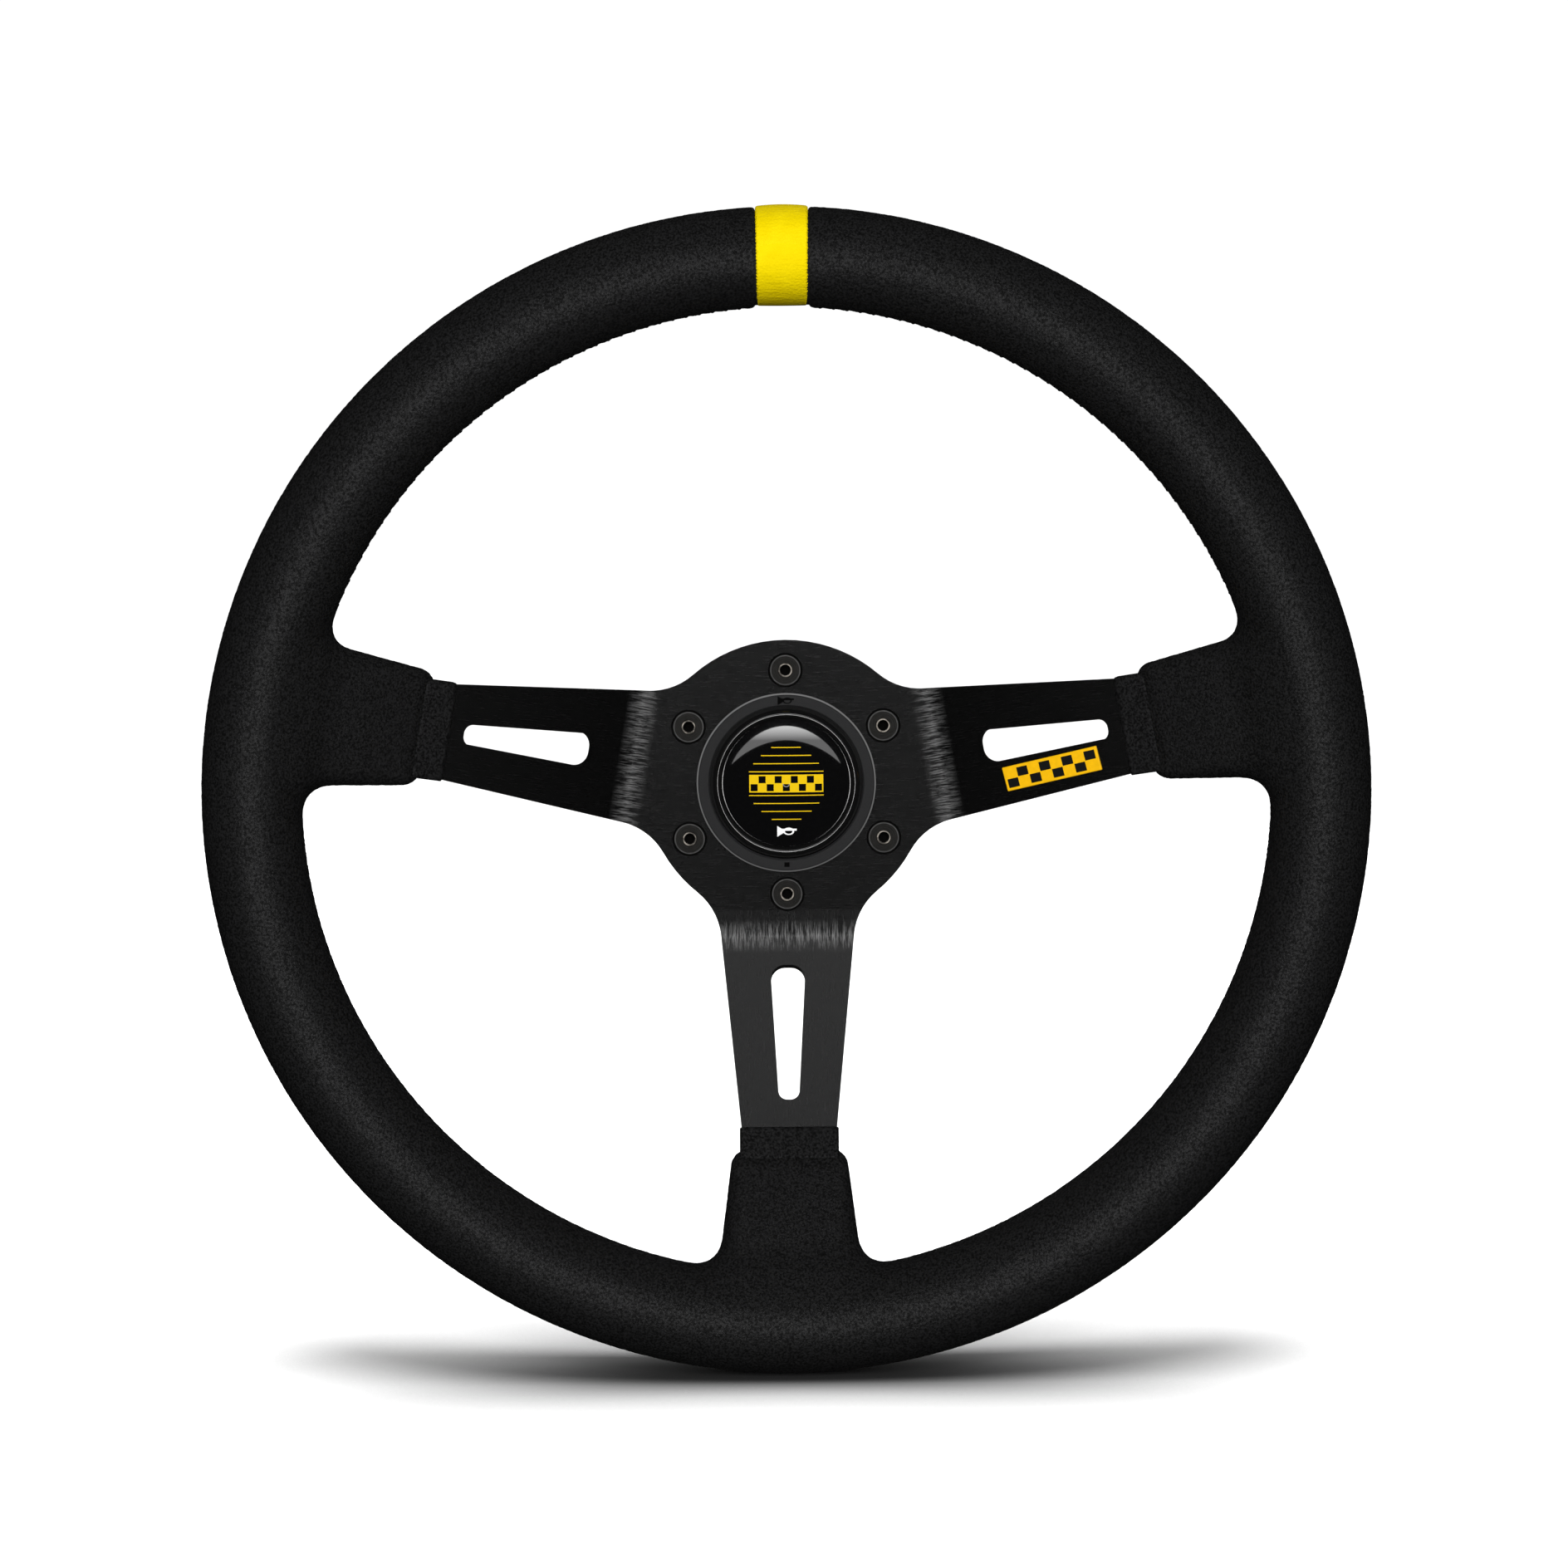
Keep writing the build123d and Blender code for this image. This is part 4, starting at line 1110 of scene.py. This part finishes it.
def arch_card():
    """A crescent of light above the driver's head, which the button's dome reflects."""
    distance, steps, rows = 1.0, 48, 8
    outer = (-5.1, 25.9)  # height of each arc's centre and its radius, in degrees seen from the button
    inner = (-18.65, 33.15)
    reach = 24.3
    points = []
    for i in range(steps + 1):
        side = -reach + 2 * reach * i / steps
        top = outer[0] + math.sqrt(outer[1] ** 2 - side**2)
        low = inner[0] + math.sqrt(inner[1] ** 2 - side**2)
        for j in range(rows + 1):
            height = low + (top - low) * j / rows
            out = (math.tan(math.radians(side)), -1.0, math.tan(math.radians(height)))
            points.append(HUB + Vector(out) * distance)
    starts = [(i * (rows + 1) + j, (i + 1) * (rows + 1) + j) for i in range(steps) for j in range(rows)]
    faces = [(a, b, b + 1, a + 1) for a, b in starts]
    card = new_object("arch_card", mesh_from("arch_card", points, faces))
    m = Nodes("arch_glow")
    dim_height, brighter, dimmest = 0.229, 52.0, 1.6  # strength gained per metre above, and its least
    bright = m.math("MULTIPLY", m.math("SUBTRACT", m.split()[2], dim_height), brighter)
    emission = m.add("ShaderNodeEmission")
    m.feed(emission.inputs["Strength"], m.math("MAXIMUM", bright, dimmest))
    m.tree.links.new(emission.outputs[0], m.tree.nodes["Material Output"].inputs["Surface"])
    m.tree.nodes.remove(m.shader)
    give(card, m.material)
    card.visible_camera = False
    card.visible_diffuse = False
    card.visible_shadow = False
    return card


def white_room():
    """White as the camera sees it, nearly dark for what the object reflects."""
    world = bpy.data.worlds.new("room")
    bpy.context.scene.world = world
    world.use_nodes = True
    tree = world.node_tree
    background = tree.nodes["Background"]
    path = tree.nodes.new("ShaderNodeLightPath")
    mix = tree.nodes.new("ShaderNodeMix")
    mix.inputs["A"].default_value = 0.012
    mix.inputs["B"].default_value = 1.05
    tree.links.new(path.outputs["Is Camera Ray"], mix.inputs["Factor"])
    tree.links.new(mix.outputs["Result"], background.inputs["Strength"])
    background.inputs["Color"].default_value = (1, 1, 1, 1)


def studio_lights():
    """Lights that give the body of each surface its tone first, then the ones that it mirrors."""
    plate = [frame["nodes"][n] for n in ("spoke_frame", "wheel_bolts", "horn_ring")]
    button = [frame["nodes"][n] for n in ("horn_cap", "horn_dome")]
    behind = [frame["nodes"][n] for n in CAD_LOOKS if frame["nodes"][n] not in plate + button] + springs
    soft_light("front_fill", 0, 8, 1.6, (1.2, 1.6), 9.2, glossy=False)
    glow = soft_light("nap_glow", 0, -2, 1.3, (0.8, 0.8), 1.0, diffuse=False)
    light_only(glow, "nap_glow_on", nap)
    light_only(soft_light("mark_fill", 0, -40, 1.3, (0.4, 0.4), 9.0, glossy=False), "mark_fill_on", [mark])
    light_only(arch_card(), "arch_card_on", button)
    bezel = soft_light("bezel_glow", 0, -7, 1.2, (0.12, 0.12), 12.0, diffuse=False)
    light_only(bezel, "bezel_glow_on", button[:1])
    plate_lights = [
        ("left_strip", -21, -4, (0.08, 0.7), 2.8),
        ("right_strip", 21, -4, (0.08, 0.7), 2.8),
        ("upper_strip", 0, 20, (0.6, 0.13), 5.5),
        ("hub_panel", 0, -4.4, (0.4, 0.4), 0.10),
        ("top_panel", 0, 40, (0.9, 0.4), 0.56),
    ]
    for name, azimuth, elevation, size, radiance in plate_lights:
        light = soft_light(name, azimuth, elevation, 1.3, size, radiance, diffuse=False)
        light_only(light, f"{name}_on", plate)
    for name, azimuth, elevation, radiance in (
        ("back_left", 205, 25, 3.0), ("back_right", 155, 25, 3.0), ("back_top", 180, 65, 2.0)
    ):
        soft_light(name, azimuth, elevation, 1.6, (0.9, 0.9), radiance, glossy=False)
        shine = soft_light(f"{name}_shine", azimuth, elevation, 1.6, (0.9, 0.9), radiance, diffuse=False)
        light_only(shine, f"{name}_on", behind)


def set_camera():
    data = bpy.data.cameras.new("camera")
    data.lens = VIEW_LENS
    data.sensor_width = 36
    data.shift_y = VIEW_SHIFT
    data.clip_start, data.clip_end = 0.01, 100
    camera = bpy.data.objects.new("camera", data)
    ahead = Vector((0, math.cos(VIEW_TILT), -math.sin(VIEW_TILT)))
    camera.location = (VIEW_SIDE, RIM_Y - VIEW_DISTANCE, VIEW_HEIGHT)
    turned = ahead.to_track_quat("-Z", "Y").to_matrix() @ Matrix.Rotation(VIEW_ROLL, 3, "Z")
    camera.rotation_euler = turned.to_euler()
    bpy.context.scene.collection.objects.link(camera)
    bpy.context.scene.camera = camera


studio_floor()
white_room()
studio_lights()
set_camera()
bpy.context.scene.view_settings.view_transform = "Standard"
